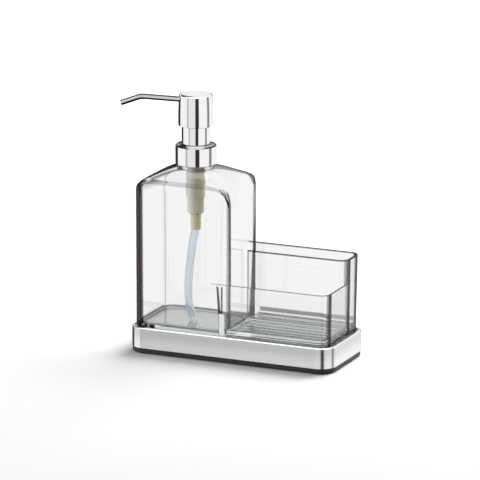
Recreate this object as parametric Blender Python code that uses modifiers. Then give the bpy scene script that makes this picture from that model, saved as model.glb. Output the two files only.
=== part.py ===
"""Sink organizer: a footed steel tray that carries a clear soap bottle with a press pump
and a clear two-compartment caddy.

Metres, +Z up, +X to the right along the tray, +Y to the back. The origin is on the
standing surface, under the middle of the whole object's outline.
"""

import math

import bmesh
import bpy
from mathutils import Vector

MM = 0.001
GAP = 0.3  # clearance between two touching pieces

# Driving dimensions, in millimetres. X is measured from the tray's middle, and
# X_SHIFT then puts the middle of the whole outline (nozzle tip to tray end) on the origin.
X_SHIFT = 13.6
TRAY_LENGTH, TRAY_WIDTH, TRAY_CORNER = 220.2, 93.3, 16.5
SKIRT_BOTTOM, RIM_TOP, DECK_TOP = 5.6, 26.9, 25.0
SHEET = 0.8
RIM_ROUND = 1.9
RIM_WIDTH = 2.75
BASE_BOTTOM = 1.2
FOOT_SIZE = 22.0
FOOT_THICKNESS = 2.7

BOTTLE_LEFT, BOTTLE_RIGHT, BOTTLE_HALF_DEPTH = -105.8, -4.05, 40.5
BOTTLE_CORNER, BOTTLE_WALL, BOTTLE_FLOOR = 10.0, 2.6, 3.0
STAND_Z = DECK_TOP + GAP
NECK_BASE, NECK_TOP = 187.2, 203.0
# The shoulder seen from an end wall and from a long wall: the flat wall's height, how high and
# how deep the rounded edge above it is, and the slope beyond, with its gain per mm.
OVER_END = (155.5, 17.0, 7.7, 0.531, -0.0015)
OVER_LONG = (164.0, 11.4, 9.0, 0.44, 0.0055)
NECK_OUTER, NECK_INNER = 17.0, 14.6

AXIS_X = -54.9  # pump axis
COLLAR_R, COLLAR_BOTTOM, COLLAR_TOP = 20.6, 189.8, 210.6
SLEEVE_R, SLEEVE_TOP = 14.35, 232.0
HEAD_R, HEAD_BOTTOM, HEAD_TOP = 17.7, 228.2, 259.6
NOZZLE_R, NOZZLE_BORE = 2.9, 2.1
NOZZLE_Z, NOZZLE_BEND, NOZZLE_REACH = 253.2, 59.8, 83.2
NOZZLE_DROOP, NOZZLE_DROP = 1.0, 21.8  # degrees below level, before and after the bend
STROKE = 15.0
TUBE_R, TUBE_BORE = 4.0, 3.0

CADDY_RIGHT, CADDY_HALF_DEPTH, CADDY_CORNER = 105.4, 43.1, 10.0
CADDY_WALL = 2.2
CADDY_EAR_END, CADDY_FLOOR_LEFT, DIVIDER_LEFT = -15.4, -3.6, -1.8
DIVIDER_FRONT = 6.0
CADDY_LOW, CADDY_TALL = 79.5, 104.0
CADDY_EAR_LEAN = 4.6
CADDY_FLOOR, RIB_TOP = 32.0, 33.7
ARC = 6  # segments in each rounded corner
TURN = 32  # segments round a turned piece


# ---------------------------------------------------------------- scene and helpers
for old in list(bpy.data.objects):
    bpy.data.objects.remove(old, do_unlink=True)


def collection(name):
    found = bpy.data.collections.new(name)
    bpy.context.scene.collection.children.link(found)
    return found


PARTS = collection("sink_organizer")
CUTTERS = collection("cutters")


def material(name, colour, roughness, metallic=0.0, transmission=0.0, alpha=1.0):
    made = bpy.data.materials.new(name)
    made.use_nodes = True
    shader = made.node_tree.nodes["Principled BSDF"]
    shader.inputs["Base Color"].default_value = (*colour, 1.0)
    shader.inputs["Roughness"].default_value = roughness
    shader.inputs["Metallic"].default_value = metallic
    shader.inputs["Transmission Weight"].default_value = transmission
    shader.inputs["Alpha"].default_value = alpha
    made.diffuse_color = (*colour, alpha)
    return made


def link(name, mesh, finish, group=None, smooth=True):
    obj = bpy.data.objects.new(name, mesh)
    (group or PARTS).objects.link(obj)
    if finish:
        mesh.materials.append(finish)
    if smooth and mesh.polygons:
        mesh.shade_smooth()
        mesh.set_sharp_from_angle(angle=math.radians(35))
    return obj


def hide(obj):
    obj.hide_render = True
    obj.display_type = "WIRE"
    return obj


def rounded(x0, x1, y0, y1, radii, steps=ARC):
    """Outline of a rectangle with rounded corners, anticlockwise from the front-left corner.
    radii: front-left, front-right, back-right, back-left."""
    if not hasattr(radii, "__len__"):
        radii = (radii,) * 4
    centres = (
        (x0 + radii[0], y0 + radii[0], 180),
        (x1 - radii[1], y0 + radii[1], 270),
        (x1 - radii[2], y1 - radii[2], 0),
        (x0 + radii[3], y1 - radii[3], 90),
    )
    points = []
    for (cx, cy, start), r in zip(centres, radii):
        for i in range(steps + 1):
            a = math.radians(start + 90 * i / steps)
            points.append((cx + r * math.cos(a), cy + r * math.sin(a)))
    return points


def ring(outline, z):
    return [(x, y, z) for x, y in outline]


def blend(a, b, t):
    return [(p[0] + (q[0] - p[0]) * t, p[1] + (q[1] - p[1]) * t) for p, q in zip(a, b)]


def loft(name, rings, finish, group=None):
    """A closed body through rings of the same number of points, capped at both ends.
    The rings turn anticlockwise and rise on the outer side."""
    bm = bmesh.new()
    rows = [
        [bm.verts.new(((x + X_SHIFT) * MM, y * MM, z * MM)) for x, y, z in points]
        for points in rings
    ]
    count = len(rows[0])
    for low, high in zip(rows, rows[1:]):
        for i in range(count):
            j = (i + 1) % count
            bm.faces.new((low[i], low[j], high[j], high[i]))
    bm.faces.new(list(reversed(rows[0])))
    bm.faces.new(rows[-1])
    mesh = bpy.data.meshes.new(name)
    bmesh.ops.recalc_face_normals(bm, faces=bm.faces)
    if bm.calc_volume(signed=True) < 0:
        bmesh.ops.reverse_faces(bm, faces=bm.faces)
    bm.to_mesh(mesh)
    bm.free()
    return link(name, mesh, finish, group)


def turned(name, profile, finish, closed=True, steps=TURN, group=None):
    """A turned piece on the pump's axis. profile is (radius, z) in mm, down the outer side
    from the top; closed runs back up the bore, and open profiles end on the axis."""
    bm = bmesh.new()
    verts = [bm.verts.new((r * MM, 0, z * MM)) for r, z in profile]
    for a, b in zip(verts, verts[1:]):
        bm.edges.new((a, b))
    if closed:
        bm.edges.new((verts[-1], verts[0]))
    mesh = bpy.data.meshes.new(name)
    bm.to_mesh(mesh)
    bm.free()
    obj = link(name, mesh, finish, group, smooth=False)
    obj.location = ((AXIS_X + X_SHIFT) * MM, 0, 0)
    screw = obj.modifiers.new("Turn", "SCREW")
    screw.axis = "Z"
    screw.angle = math.radians(360)
    screw.steps = screw.render_steps = steps
    screw.use_merge_vertices = True
    screw.merge_threshold = 0.00005
    screw.use_smooth_shade = True
    return obj


def cut(obj, cutter, operation="DIFFERENCE"):
    boolean = obj.modifiers.new(operation.title(), "BOOLEAN")
    boolean.operation = operation
    boolean.solver = "EXACT"
    boolean.object = cutter
    return boolean


def fillet(x, z, r, start, end, steps):
    """Points of an arc in a profile, for turned pieces; angles in degrees."""
    return [
        (
            x + r * math.cos(math.radians(start + (end - start) * i / steps)),
            z + r * math.sin(math.radians(start + (end - start) * i / steps)),
        )
        for i in range(steps + 1)
    ]


# ---------------------------------------------------------------- finishes
STEEL = material("brushed_steel", (0.72, 0.72, 0.71), 0.28, 1.0)
CHROME = material("polished_chrome", (0.88, 0.88, 0.88), 0.06, 1.0)
BLACK = material("black_plastic", (0.02, 0.02, 0.022), 0.45)
RUBBER = material("black_rubber", (0.012, 0.012, 0.012), 0.8)
CLEAR = material("clear_plastic", (0.95, 0.97, 0.97), 0.03, 0.0, 0.9, 0.35)
PUMP = material("milky_plastic", (0.62, 0.60, 0.50), 0.35, 0.0, 0.3)
WHITE = material("white_plastic", (0.80, 0.80, 0.78), 0.4)
TUBE = material("tube_plastic", (0.72, 0.78, 0.85), 0.25, 0.0, 0.5, 0.6)
SEAL = material("grey_seal", (0.25, 0.25, 0.26), 0.6)
SPRING = material("spring_steel", (0.6, 0.6, 0.6), 0.25, 1.0)


# ---------------------------------------------------------------- tray, base and feet
def tray_outline(inset):
    r = max(TRAY_CORNER - inset, 1.0)
    hx, hy = TRAY_LENGTH / 2 - inset, TRAY_WIDTH / 2 - inset
    return rounded(-hx, hx, -hy, hy, r)


def rim_rings(offset, bottom):
    """Rings of the pressed sheet from the skirt up, over the rim and down to the deck."""
    rows = [ring(tray_outline(offset), bottom)]
    for x, z in fillet(RIM_ROUND, RIM_TOP - RIM_ROUND, RIM_ROUND - offset, 180, 90, 4):
        rows.append(ring(tray_outline(x), z))
    rows.append(ring(tray_outline(RIM_WIDTH - offset), RIM_TOP - offset))
    rows.append(ring(tray_outline(RIM_WIDTH + 0.15 - offset), DECK_TOP - offset))
    return rows


outer_skin = rim_rings(0, SKIRT_BOTTOM)
inner_skin = rim_rings(SHEET, SKIRT_BOTTOM)
loft("steel_tray", list(reversed(inner_skin)) + outer_skin, STEEL)

BASE_WALL_TOP = DECK_TOP - SHEET - GAP
base_plate = loft(
    "base_plate",
    [
        ring(tray_outline(0.9), BASE_BOTTOM),
        ring(tray_outline(0.5), BASE_BOTTOM + 0.5),
        ring(tray_outline(0.5), SKIRT_BOTTOM - GAP),
        ring(tray_outline(SHEET + GAP), SKIRT_BOTTOM - GAP + 0.01),
        ring(tray_outline(SHEET + GAP), BASE_WALL_TOP - 4.0),
        ring(tray_outline(SHEET + GAP + 3.4), BASE_WALL_TOP),
        ring(tray_outline(SHEET + GAP + 5.4), BASE_WALL_TOP),
        ring(tray_outline(SHEET + GAP + 5.4), SKIRT_BOTTOM),
    ],
    BLACK,
)


def foot_outline(side_x, side_y, inset):
    """A pad that follows one corner of the base."""
    x1, y1 = TRAY_LENGTH / 2 - 1.6, TRAY_WIDTH / 2 - 1.6
    outer, small = TRAY_CORNER - 1.6, 3.0
    radii = [small] * 4
    corner = {(-1, -1): 0, (1, -1): 1, (1, 1): 2, (-1, 1): 3}[(side_x, side_y)]
    radii[corner] = outer
    xs = sorted((side_x * x1, side_x * (x1 - FOOT_SIZE)))
    ys = sorted((side_y * y1, side_y * (y1 - FOOT_SIZE)))
    return rounded(
        xs[0] + inset,
        xs[1] - inset,
        ys[0] + inset,
        ys[1] - inset,
        [r - inset for r in radii],
        4,
    )


for label, sx, sy in (
    ("front_left", -1, -1),
    ("front_right", 1, -1),
    ("rear_right", 1, 1),
    ("rear_left", -1, 1),
):
    pocket = loft(
        "pocket_" + label,
        [
            ring(foot_outline(sx, sy, -GAP), BASE_BOTTOM - 1),
            ring(foot_outline(sx, sy, -GAP), FOOT_THICKNESS + GAP),
        ],
        None,
        CUTTERS,
    )
    cut(base_plate, hide(pocket))
    loft(
        "foot_" + label,
        [
            ring(foot_outline(sx, sy, 0.5), 0),
            ring(foot_outline(sx, sy, 0), 0.5),
            ring(foot_outline(sx, sy, 0), FOOT_THICKNESS),
        ],
        RUBBER,
    )


# ---------------------------------------------------------------- soap bottle
SIDES = (0.07, 0.2, 0.5, 0.8, 0.93)


def bottle_outline(inset, radius=None):
    r = BOTTLE_CORNER - inset if radius is None else radius
    corners = rounded(
        BOTTLE_LEFT + inset,
        BOTTLE_RIGHT - inset,
        -BOTTLE_HALF_DEPTH + inset,
        BOTTLE_HALF_DEPTH - inset,
        max(r, 1.0),
    )
    # The straight walls carry points too, so that the shoulder's edge can round between corners.
    points = []
    for k in range(4):
        arc = corners[k * (ARC + 1) : (k + 1) * (ARC + 1)]
        start, end = arc[-1], corners[(k + 1) * (ARC + 1) % len(corners)]
        points += arc
        points += [(start[0] + (end[0] - start[0]) * w, start[1] + (end[1] - start[1]) * w) for w in SIDES]
    return points


def neck_outline(r):
    """A circle round the neck with a point for each of the bottle outline's points."""
    count = 4 * (ARC + 1 + len(SIDES))
    turns = [225 + 360 * (i - ARC / 2) / count for i in range(count)]
    return [(AXIS_X + r * math.cos(math.radians(a)), r * math.sin(math.radians(a))) for a in turns]


def shoulder_height(x, y):
    """Height of the shoulder over a point: a low hipped roof with rounded eaves."""
    from_end = max(min(x - BOTTLE_LEFT, BOTTLE_RIGHT - x), 0.0)
    from_long = max(BOTTLE_HALF_DEPTH - abs(y), 0.0)
    heights = []
    for away, (wall, lift, reach, slope, gain) in ((from_end, OVER_END), (from_long, OVER_LONG)):
        eave = math.sqrt(1 - max(1 - away / reach, 0.0) ** 2)
        heights.append(wall + lift * eave + slope * away + gain * away**2)
    heights.append(NECK_BASE + 1.7)
    soft = 2.5  # softens the hips where the slopes meet
    lowest = min(heights)
    return lowest - soft * math.log(sum(math.exp(-(h - lowest) / soft) for h in heights))


def shoulder(inset, drop, neck_r):
    """Rings from the top of the straight wall over the shoulder to the neck's foot."""
    wall, foot = bottle_outline(0), neck_outline(neck_r)
    inner = bottle_outline(inset, BOTTLE_CORNER - inset)
    rows = []
    for t in (0.0, 0.012, 0.03, 0.055, 0.09, 0.14, 0.22, 0.34, 0.5, 0.7, 0.88, 1.0):
        at, over = blend(inner, foot, t), blend(wall, foot, t)
        rows.append([(x, y, shoulder_height(*s) - drop) for (x, y), s in zip(at, over)])
    return rows


def bottle_rings():
    rows = []
    for inset, z in ((2.6, 0.0), (1.1, 0.45), (0.25, 1.5), (0.0, 3.0)):
        rows.append(ring(bottle_outline(inset), STAND_Z + z))
    rows += shoulder(0, 0, NECK_OUTER + 2.2)
    rows.append(ring(neck_outline(NECK_OUTER + 0.5), NECK_BASE + 0.3))
    rows.append(ring(neck_outline(NECK_OUTER), NECK_BASE + 1.2))
    rows.append(ring(neck_outline(NECK_OUTER), NECK_TOP - 0.5))
    rows.append(ring(neck_outline(NECK_OUTER - 0.5), NECK_TOP))
    rows.append(ring(neck_outline(NECK_INNER), NECK_TOP))
    rows.append(ring(neck_outline(NECK_INNER), NECK_BASE - 1.6))
    rows += reversed(shoulder(BOTTLE_WALL, BOTTLE_WALL * 1.1, NECK_INNER + 1.6))
    floor = STAND_Z + BOTTLE_FLOOR
    for inset, z in ((0.0, 5.0), (0.6, 2.2), (2.2, 0.6), (5.0, 0.0)):
        rows.append(ring(bottle_outline(BOTTLE_WALL + inset, 8.0), floor + z))
    return rows


loft("soap_bottle", bottle_rings(), CLEAR)


# ---------------------------------------------------------------- caddy
def caddy_body():
    draft_low, draft_mid = 1.2, 0.4  # how far the walls lean in at the foot and at the low rim

    def outer(inset, y0, z):
        """The ears' ends lean away from the bottle towards their foot."""
        lean = CADDY_EAR_LEAN * (CADDY_TALL - z) / (CADDY_TALL - STAND_Z)
        return rounded(
            CADDY_EAR_END + lean,
            CADDY_RIGHT - inset,
            y0 + inset if y0 < 0 else y0,
            CADDY_HALF_DEPTH - inset,
            (0.4, CADDY_CORNER, CADDY_CORNER, 0.4),
        )

    def inner(inset, y0, left):
        return rounded(
            left,
            CADDY_RIGHT - CADDY_WALL - inset,
            y0,
            CADDY_HALF_DEPTH - CADDY_WALL - inset,
            (0.4, CADDY_CORNER - CADDY_WALL, CADDY_CORNER - CADDY_WALL, 0.4),
        )

    body = loft(
        "caddy",
        [
            ring(outer(draft_low + 0.8, -CADDY_HALF_DEPTH, STAND_Z), STAND_Z),
            ring(outer(draft_low, -CADDY_HALF_DEPTH, STAND_Z + 0.9), STAND_Z + 0.9),
            ring(outer(draft_mid, -CADDY_HALF_DEPTH, CADDY_LOW), CADDY_LOW),
        ],
        CLEAR,
    )
    tall = loft(
        "tall_box",
        [
            ring(outer(draft_low, DIVIDER_FRONT, STAND_Z + 1.0), STAND_Z + 1.0),
            ring(outer(draft_mid, DIVIDER_FRONT, CADDY_LOW), CADDY_LOW),
            ring(outer(0, DIVIDER_FRONT, CADDY_TALL), CADDY_TALL),
        ],
        None,
        CUTTERS,
    )
    cut(body, hide(tall), "UNION")

    rear_room = loft(
        "rear_room",
        [
            ring(inner(draft_low, DIVIDER_FRONT + CADDY_WALL, -40), CADDY_FLOOR),
            ring(inner(draft_mid, DIVIDER_FRONT + CADDY_WALL, -40), CADDY_LOW),
            ring(inner(0, DIVIDER_FRONT + CADDY_WALL, -40), CADDY_TALL + 3),
        ],
        None,
        CUTTERS,
    )
    front_room = loft(
        "front_room",
        [
            ring(inner(draft_low, -CADDY_HALF_DEPTH + CADDY_WALL + draft_low, -40), CADDY_FLOOR),
            ring(inner(draft_mid, -CADDY_HALF_DEPTH + CADDY_WALL + draft_mid, -40), CADDY_LOW),
            ring(inner(draft_mid, -CADDY_HALF_DEPTH + CADDY_WALL + draft_mid, -40), CADDY_LOW + 3),
        ],
        None,
        CUTTERS,
    )
    # The front room stops at the tall box's front face and its rounded corner.
    tall_keep = loft(
        "tall_keep",
        [
            ring(outer(draft_low, DIVIDER_FRONT, STAND_Z - 3), STAND_Z - 3),
            ring(outer(draft_low, DIVIDER_FRONT, STAND_Z + 1.0), STAND_Z + 1.0),
            ring(outer(draft_mid, DIVIDER_FRONT, CADDY_LOW), CADDY_LOW),
            ring(outer(0, DIVIDER_FRONT, CADDY_TALL + 6), CADDY_TALL + 6),
        ],
        None,
        CUTTERS,
    )
    cut(front_room, hide(tall_keep))
    cut(body, hide(rear_room))
    cut(body, hide(front_room))
    # The floor and the divider stop short of the bottle, and the ears pass round its corners.
    clear_y = BOTTLE_HALF_DEPTH + 0.4
    foot_gap = loft(
        "foot_gap",
        [
            ring(rounded(-60, CADDY_FLOOR_LEFT, -clear_y, clear_y, 1.0, 2), STAND_Z - 3),
            ring(rounded(-60, CADDY_FLOOR_LEFT, -clear_y, clear_y, 1.0, 2), CADDY_TALL + 4),
        ],
        None,
        CUTTERS,
    )
    divider_gap = loft(
        "divider_gap",
        [
            ring(rounded(-50, DIVIDER_LEFT, -30, 30, 1.0, 2), CADDY_FLOOR + 0.2),
            ring(rounded(-50, DIVIDER_LEFT, -30, 30, 1.0, 2), CADDY_TALL + 5),
        ],
        None,
        CUTTERS,
    )
    cut(body, hide(foot_gap))
    cut(body, hide(divider_gap))
    # Drain ribs along the floor.
    ribs = [-34.5, -25.5, -16.5, -7.5, 1.5, 14.5, 23.5, 32.5]
    for number, y in enumerate(ribs):
        rib = loft(
            f"rib_{number}",
            [
                ring(rounded(4.0, 99.0, y - 2.2, y + 2.2, 1.9, 2), CADDY_FLOOR - 1),
                ring(rounded(4.0, 99.0, y - 2.2, y + 2.2, 1.9, 2), CADDY_FLOOR + 0.8),
                ring(rounded(5.0, 98.0, y - 1.2, y + 1.2, 1.0, 2), RIB_TOP),
            ],
            None,
            CUTTERS,
        )
        cut(body, hide(rib), "UNION")
    # A thin pointed lip carries each ear's rim on along the bottle's wall.
    for label, side, top in (("front", -1, CADDY_LOW), ("rear", 1, CADDY_TALL)):
        face = CADDY_HALF_DEPTH - (draft_mid if side < 0 else 0)
        tip = -20.5 if side < 0 else -18.2
        rows = []
        for x, thick, tall_mm in ((-11.0, 1.7, 2.2), (-14.8, 1.5, 1.6), (-16.8, 0.9, 1.1), (tip, 0.4, 0.7)):
            near, far = side * face, side * (face - thick)
            corners = [(near, top - tall_mm), (far, top - tall_mm), (far, top - 0.02), (near, top - 0.02)]
            rows.append([(x, y, z) for y, z in corners])
        lip = loft(f"lip_{label}", rows, None, CUTTERS)
        cut(body, hide(lip), "UNION")
    return body


caddy_body()


# ---------------------------------------------------------------- pump, from the neck up
turned(
    "neck_gasket",
    [(16.7, NECK_TOP + 1.4), (16.7, NECK_TOP + GAP), (10.6, NECK_TOP + GAP), (10.6, NECK_TOP + 1.4)],
    SEAL,
    steps=24,
)

FLANGE_TOP = NECK_TOP + 3.0  # 206.0
HOUSE_UPPER, HOUSE_MID, HOUSE_LOW, HOUSE_END = 9.7, 8.4, 5.35, 122.4
STEP_A, STEP_B = 155.4, 139.4
PISTON_TOP, PISTON_BOTTOM = 186.5, 179.0
turned(
    "pump_housing",
    [
        (16.7, FLANGE_TOP),
        (16.7, NECK_TOP + 1.7),
        (HOUSE_UPPER, NECK_TOP + 1.7),
        (HOUSE_UPPER, STEP_A + 0.6),
        (HOUSE_UPPER - 0.5, STEP_A),
        (HOUSE_MID, STEP_A),
        (HOUSE_MID, STEP_B + 0.6),
        (HOUSE_MID - 0.6, STEP_B),
        (HOUSE_LOW, STEP_B - 1.5),
        (HOUSE_LOW, HOUSE_END),
        (TUBE_R + 0.25, HOUSE_END),
        (TUBE_R + 0.25, 130.0),
        (2.3, 130.0),
        (2.3, 133.0),
        (3.9, 134.4),
        (3.9, 141.0),
        (6.2, 142.0),
        (6.2, STEP_A + 1.2),
        (8.3, STEP_A + 1.2),
        (8.3, FLANGE_TOP),
    ],
    PUMP,
)

turned(
    "guide_ring",
    [
        (11.2, FLANGE_TOP + 1.9),
        (11.2, FLANGE_TOP + GAP),
        (8.0, FLANGE_TOP + GAP),
        (8.0, PISTON_TOP + 0.8),
        (4.6, PISTON_TOP + 0.8),
        (4.6, FLANGE_TOP + 1.9),
    ],
    WHITE,
    steps=24,
)

turned(
    "threaded_closure",
    [
        (19.3, FLANGE_TOP + 1.6),
        (19.3, COLLAR_BOTTOM + 1.2),
        (17.5, COLLAR_BOTTOM + 1.2),
        (17.5, FLANGE_TOP + GAP),
        (11.6, FLANGE_TOP + GAP),
        (11.6, FLANGE_TOP + 1.6),
    ],
    WHITE,
)

turned(
    "chrome_collar",
    [(SLEEVE_R + GAP, COLLAR_TOP), (COLLAR_R - 2.4, COLLAR_TOP)]
    + fillet(COLLAR_R - 2.4, COLLAR_TOP - 2.4, 2.4, 90, 0, 5)[1:]
    + [
        (COLLAR_R, COLLAR_BOTTOM),
        (COLLAR_R - 0.9, COLLAR_BOTTOM),
        (COLLAR_R - 0.9, COLLAR_TOP - 2.6),
        (COLLAR_R - 2.6, COLLAR_TOP - 1.0),
        (SLEEVE_R + GAP, COLLAR_TOP - 1.0),
    ],
    CHROME,
)

SLEEVE_FOOT = FLANGE_TOP + 2.2
turned(
    "stem_sleeve",
    [
        (SLEEVE_R, SLEEVE_TOP),
        (SLEEVE_R, SLEEVE_FOOT + 1.0),
        (17.0, SLEEVE_FOOT + 1.0),
        (17.0, SLEEVE_FOOT),
        (SLEEVE_R - 0.9, SLEEVE_FOOT),
        (SLEEVE_R - 0.9, SLEEVE_TOP),
    ],
    CHROME,
)

# Head shell: open below, with a turned-in lip that runs close to the sleeve.
head = turned(
    "pump_head",
    [(0, HEAD_TOP), (HEAD_R - 2.4, HEAD_TOP)]
    + fillet(HEAD_R - 2.4, HEAD_TOP - 2.4, 2.4, 90, 0, 5)[1:]
    + [
        (HEAD_R, HEAD_BOTTOM + 0.5),
        (HEAD_R - 0.5, HEAD_BOTTOM),
        (SLEEVE_R + 0.4, HEAD_BOTTOM),
        (SLEEVE_R + 0.4, HEAD_BOTTOM + 1.6),
        (HEAD_R - 1.0, HEAD_BOTTOM + 1.6),
        (HEAD_R - 1.0, HEAD_TOP - 2.4),
        (HEAD_R - 2.4, HEAD_TOP - 1.2),
        (0, HEAD_TOP - 1.2),
    ],
    CHROME,
    closed=False,
)

CORE_TOP, CORE_BOTTOM, HUB_BOTTOM = HEAD_TOP - 1.5, 248.4, 237.5
core = turned(
    "nozzle_core",
    [
        (0, CORE_TOP),
        (14.6, CORE_TOP),
        (16.4, HEAD_TOP - 3.4),
        (16.4, CORE_BOTTOM),
        (7.4, CORE_BOTTOM),
        (7.4, HUB_BOTTOM),
        (4.5, HUB_BOTTOM),
        (4.5, 246.9),
        (2.0, 246.9),
        (2.0, NOZZLE_Z),
        (0, NOZZLE_Z),
    ],
    WHITE,
    closed=False,
)


def point_on_nozzle(distance):
    """Centre line of the spout, measured outwards from the pump's axis."""
    droop, drop = math.radians(NOZZLE_DROOP), math.radians(NOZZLE_DROP)
    straight = min(distance, NOZZLE_BEND)
    x = AXIS_X - straight * math.cos(droop)
    z = NOZZLE_Z - (straight - HEAD_R) * math.sin(droop)
    beyond = distance - straight
    return x - beyond * math.cos(drop), 0, z - beyond * math.sin(drop)


def tube_path(points):
    """A POLY spline through the points, in mm."""
    curve = bpy.data.curves.new("path", "CURVE")
    curve.dimensions = "3D"
    spline = curve.splines.new("POLY")
    spline.points.add(len(points) - 1)
    for slot, (x, y, z) in zip(spline.points, points):
        slot.co = ((x + X_SHIFT) * MM, y * MM, z * MM, 1)
    return curve


def curve_to_mesh(name, curve, weld):
    obj = bpy.data.objects.new(name + "_curve", curve)
    CUTTERS.objects.link(obj)
    bpy.context.view_layer.update()
    graph = bpy.context.evaluated_depsgraph_get()
    mesh = bpy.data.meshes.new_from_object(obj.evaluated_get(graph), depsgraph=graph)
    mesh.name = name
    bpy.data.objects.remove(obj, do_unlink=True)
    bm = bmesh.new()
    bm.from_mesh(mesh)
    if weld:
        bmesh.ops.remove_doubles(bm, verts=bm.verts, dist=0.000005)
    bmesh.ops.recalc_face_normals(bm, faces=bm.faces)
    if weld and bm.calc_volume(signed=True) < 0:
        bmesh.ops.reverse_faces(bm, faces=bm.faces)
    bm.to_mesh(mesh)
    bm.free()
    return mesh


def solid_rod(name, points, radius, finish, group=None, resolution=2):
    curve = tube_path(points)
    curve.bevel_depth = radius * MM
    curve.bevel_resolution = resolution
    curve.use_fill_caps = True
    return link(name, curve_to_mesh(name, curve, True), finish, group)


def hollow_tube(name, points, outer, bore, finish, resolution=4):
    """A pipe: an open skin along the path, thickened inwards."""
    curve = tube_path(points)
    curve.bevel_depth = outer * MM
    curve.bevel_resolution = resolution
    curve.use_fill_caps = False
    mesh = curve_to_mesh(name, curve, False)
    bm = bmesh.new()
    bm.from_mesh(mesh)
    bmesh.ops.remove_doubles(bm, verts=bm.verts, dist=0.000005)
    # Outward normals: a face's normal must point away from the nearest path point.
    bmesh.ops.recalc_face_normals(bm, faces=bm.faces)
    face = bm.faces[0]
    centre = face.calc_center_median()
    nearest = min(
        (Vector(((x + X_SHIFT) * MM, y * MM, z * MM)) for x, y, z in points),
        key=lambda p: (p - centre).length,
    )
    if face.normal.dot(centre - nearest) < 0:
        bmesh.ops.reverse_faces(bm, faces=bm.faces)
    bm.to_mesh(mesh)
    bm.free()
    obj = link(name, mesh, finish)
    solid = obj.modifiers.new("Wall", "SOLIDIFY")
    solid.thickness = (outer - bore) * MM
    solid.offset = -1
    solid.use_rim = True
    return obj


def bend_path(start, end, step_mm=4.0, blend_mm=6.0):
    """Spout centre line with its bend eased over a few millimetres."""
    points = []
    count = int((end - start) / step_mm) + 1
    marks = [start + (end - start) * i / count for i in range(count + 1)]
    marks += [NOZZLE_BEND - blend_mm + blend_mm * 2 * i / 6 for i in range(7)]
    for s in sorted(set(round(m, 3) for m in marks)):
        window = [point_on_nozzle(s + blend_mm * (k / 4 - 1) * 0.75) for k in range(9)] if abs(s - NOZZLE_BEND) <= blend_mm + 0.01 else [point_on_nozzle(s)]
        points.append(tuple(sum(c[i] for c in window) / len(window) for i in range(3)))
    clean = [points[0]]
    for p in points[1:]:
        if (Vector(p) - Vector(clean[-1])).length > 1.0:
            clean.append(p)
    return clean


SPOUT_START = 7.0
hollow_tube("nozzle_tube", bend_path(SPOUT_START, NOZZLE_REACH), NOZZLE_R, NOZZLE_BORE, CHROME, 3)
socket = solid_rod(
    "spout_socket",
    [point_on_nozzle(SPOUT_START - GAP), point_on_nozzle(30.0)],
    NOZZLE_R + GAP,
    None,
    CUTTERS,
    4,
)
feed = solid_rod("feed_bore", [point_on_nozzle(0.5), point_on_nozzle(12.0)], 1.6, None, CUTTERS, 2)
cut(head, hide(socket))
cut(core, socket)
cut(core, hide(feed))

# Piston stem, seal, valves and spring.
turned(
    "piston_stem",
    [
        (4.2, 246.6),
        (4.2, PISTON_TOP + 0.3),
        (5.6, PISTON_TOP + 0.3),
        (5.6, PISTON_TOP - 1.0),
        (4.2, PISTON_TOP - 1.0),
        (4.2, PISTON_BOTTOM + 1.0),
        (6.4, PISTON_BOTTOM + 1.0),
        (6.4, PISTON_BOTTOM - 0.4),
        (1.6, PISTON_BOTTOM - 0.4),
        (1.6, 238.0),
        (2.7, 239.2),
        (2.7, 246.6),
    ],
    WHITE,
    steps=24,
)
turned(
    "piston_seal",
    [
        (8.0, PISTON_TOP - 0.2),
        (8.0, PISTON_TOP - 1.4),
        (7.5, PISTON_TOP - 2.6),
        (7.5, PISTON_BOTTOM + 3.0),
        (8.0, PISTON_BOTTOM + 1.8),
        (8.0, PISTON_BOTTOM + 1.0),
        (7.0, PISTON_BOTTOM + 1.3),
        (4.5, PISTON_BOTTOM + 1.3),
        (4.5, PISTON_TOP - 1.3),
        (7.0, PISTON_TOP - 1.3),
    ],
    SEAL,
    steps=24,
)


def ball(name, z, r, finish):
    mesh = bpy.data.meshes.new(name)
    bm = bmesh.new()
    bmesh.ops.create_uvsphere(bm, u_segments=16, v_segments=8, radius=r * MM)
    bm.to_mesh(mesh)
    bm.free()
    obj = link(name, mesh, finish)
    obj.location = ((AXIS_X + X_SHIFT) * MM, 0, z * MM)
    return obj


ball("outlet_ball", 239.9, 2.2, SPRING)
ball("inlet_ball", 135.4, 3.0, SPRING)

SPRING_FOOT, SPRING_HEAD, COIL_R, WIRE_R, COILS = STEP_A + 1.2 + 0.2, PISTON_BOTTOM - 0.6, 7.2, 0.55, 7
turns_points = 11
rise = SPRING_HEAD - SPRING_FOOT - 2 * WIRE_R
coil = []
for i in range(COILS * turns_points + 1):
    turn = i / turns_points
    # The end coils lie flat, and the middle ones climb.
    lift = min(max((turn - 0.8) / (COILS - 1.6), 0.0), 1.0)
    a = 2 * math.pi * turn
    coil.append(
        (
            AXIS_X + COIL_R * math.cos(a),
            COIL_R * math.sin(a),
            SPRING_FOOT
            + WIRE_R
            + 1.2 * min(turn, 0.8) / 0.8
            + lift * (rise - 2.4)
            + 1.2 * max(turn - (COILS - 0.8), 0.0) / 0.8,
        )
    )
solid_rod("return_spring", coil, WIRE_R, SPRING, None, 1)

# Dip tube: from its socket in the housing down to just above the bottle's floor. It keeps
# the set of the reel it was cut from: a long bow towards -X, hooked back at the foot.
TUBE_TOP, TUBE_END = 129.6, 30.5
GUIDES = (
    (TUBE_TOP, 0.0),
    (121.5, -0.2),
    (113.0, -2.4),
    (103.4, -3.9),
    (87.1, -6.1),
    (71.0, -7.7),
    (58.0, -8.2),
    (46.0, -7.4),
    (39.0, -5.9),
    (34.0, -4.1),
    (TUBE_END, -2.6),
)


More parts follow.
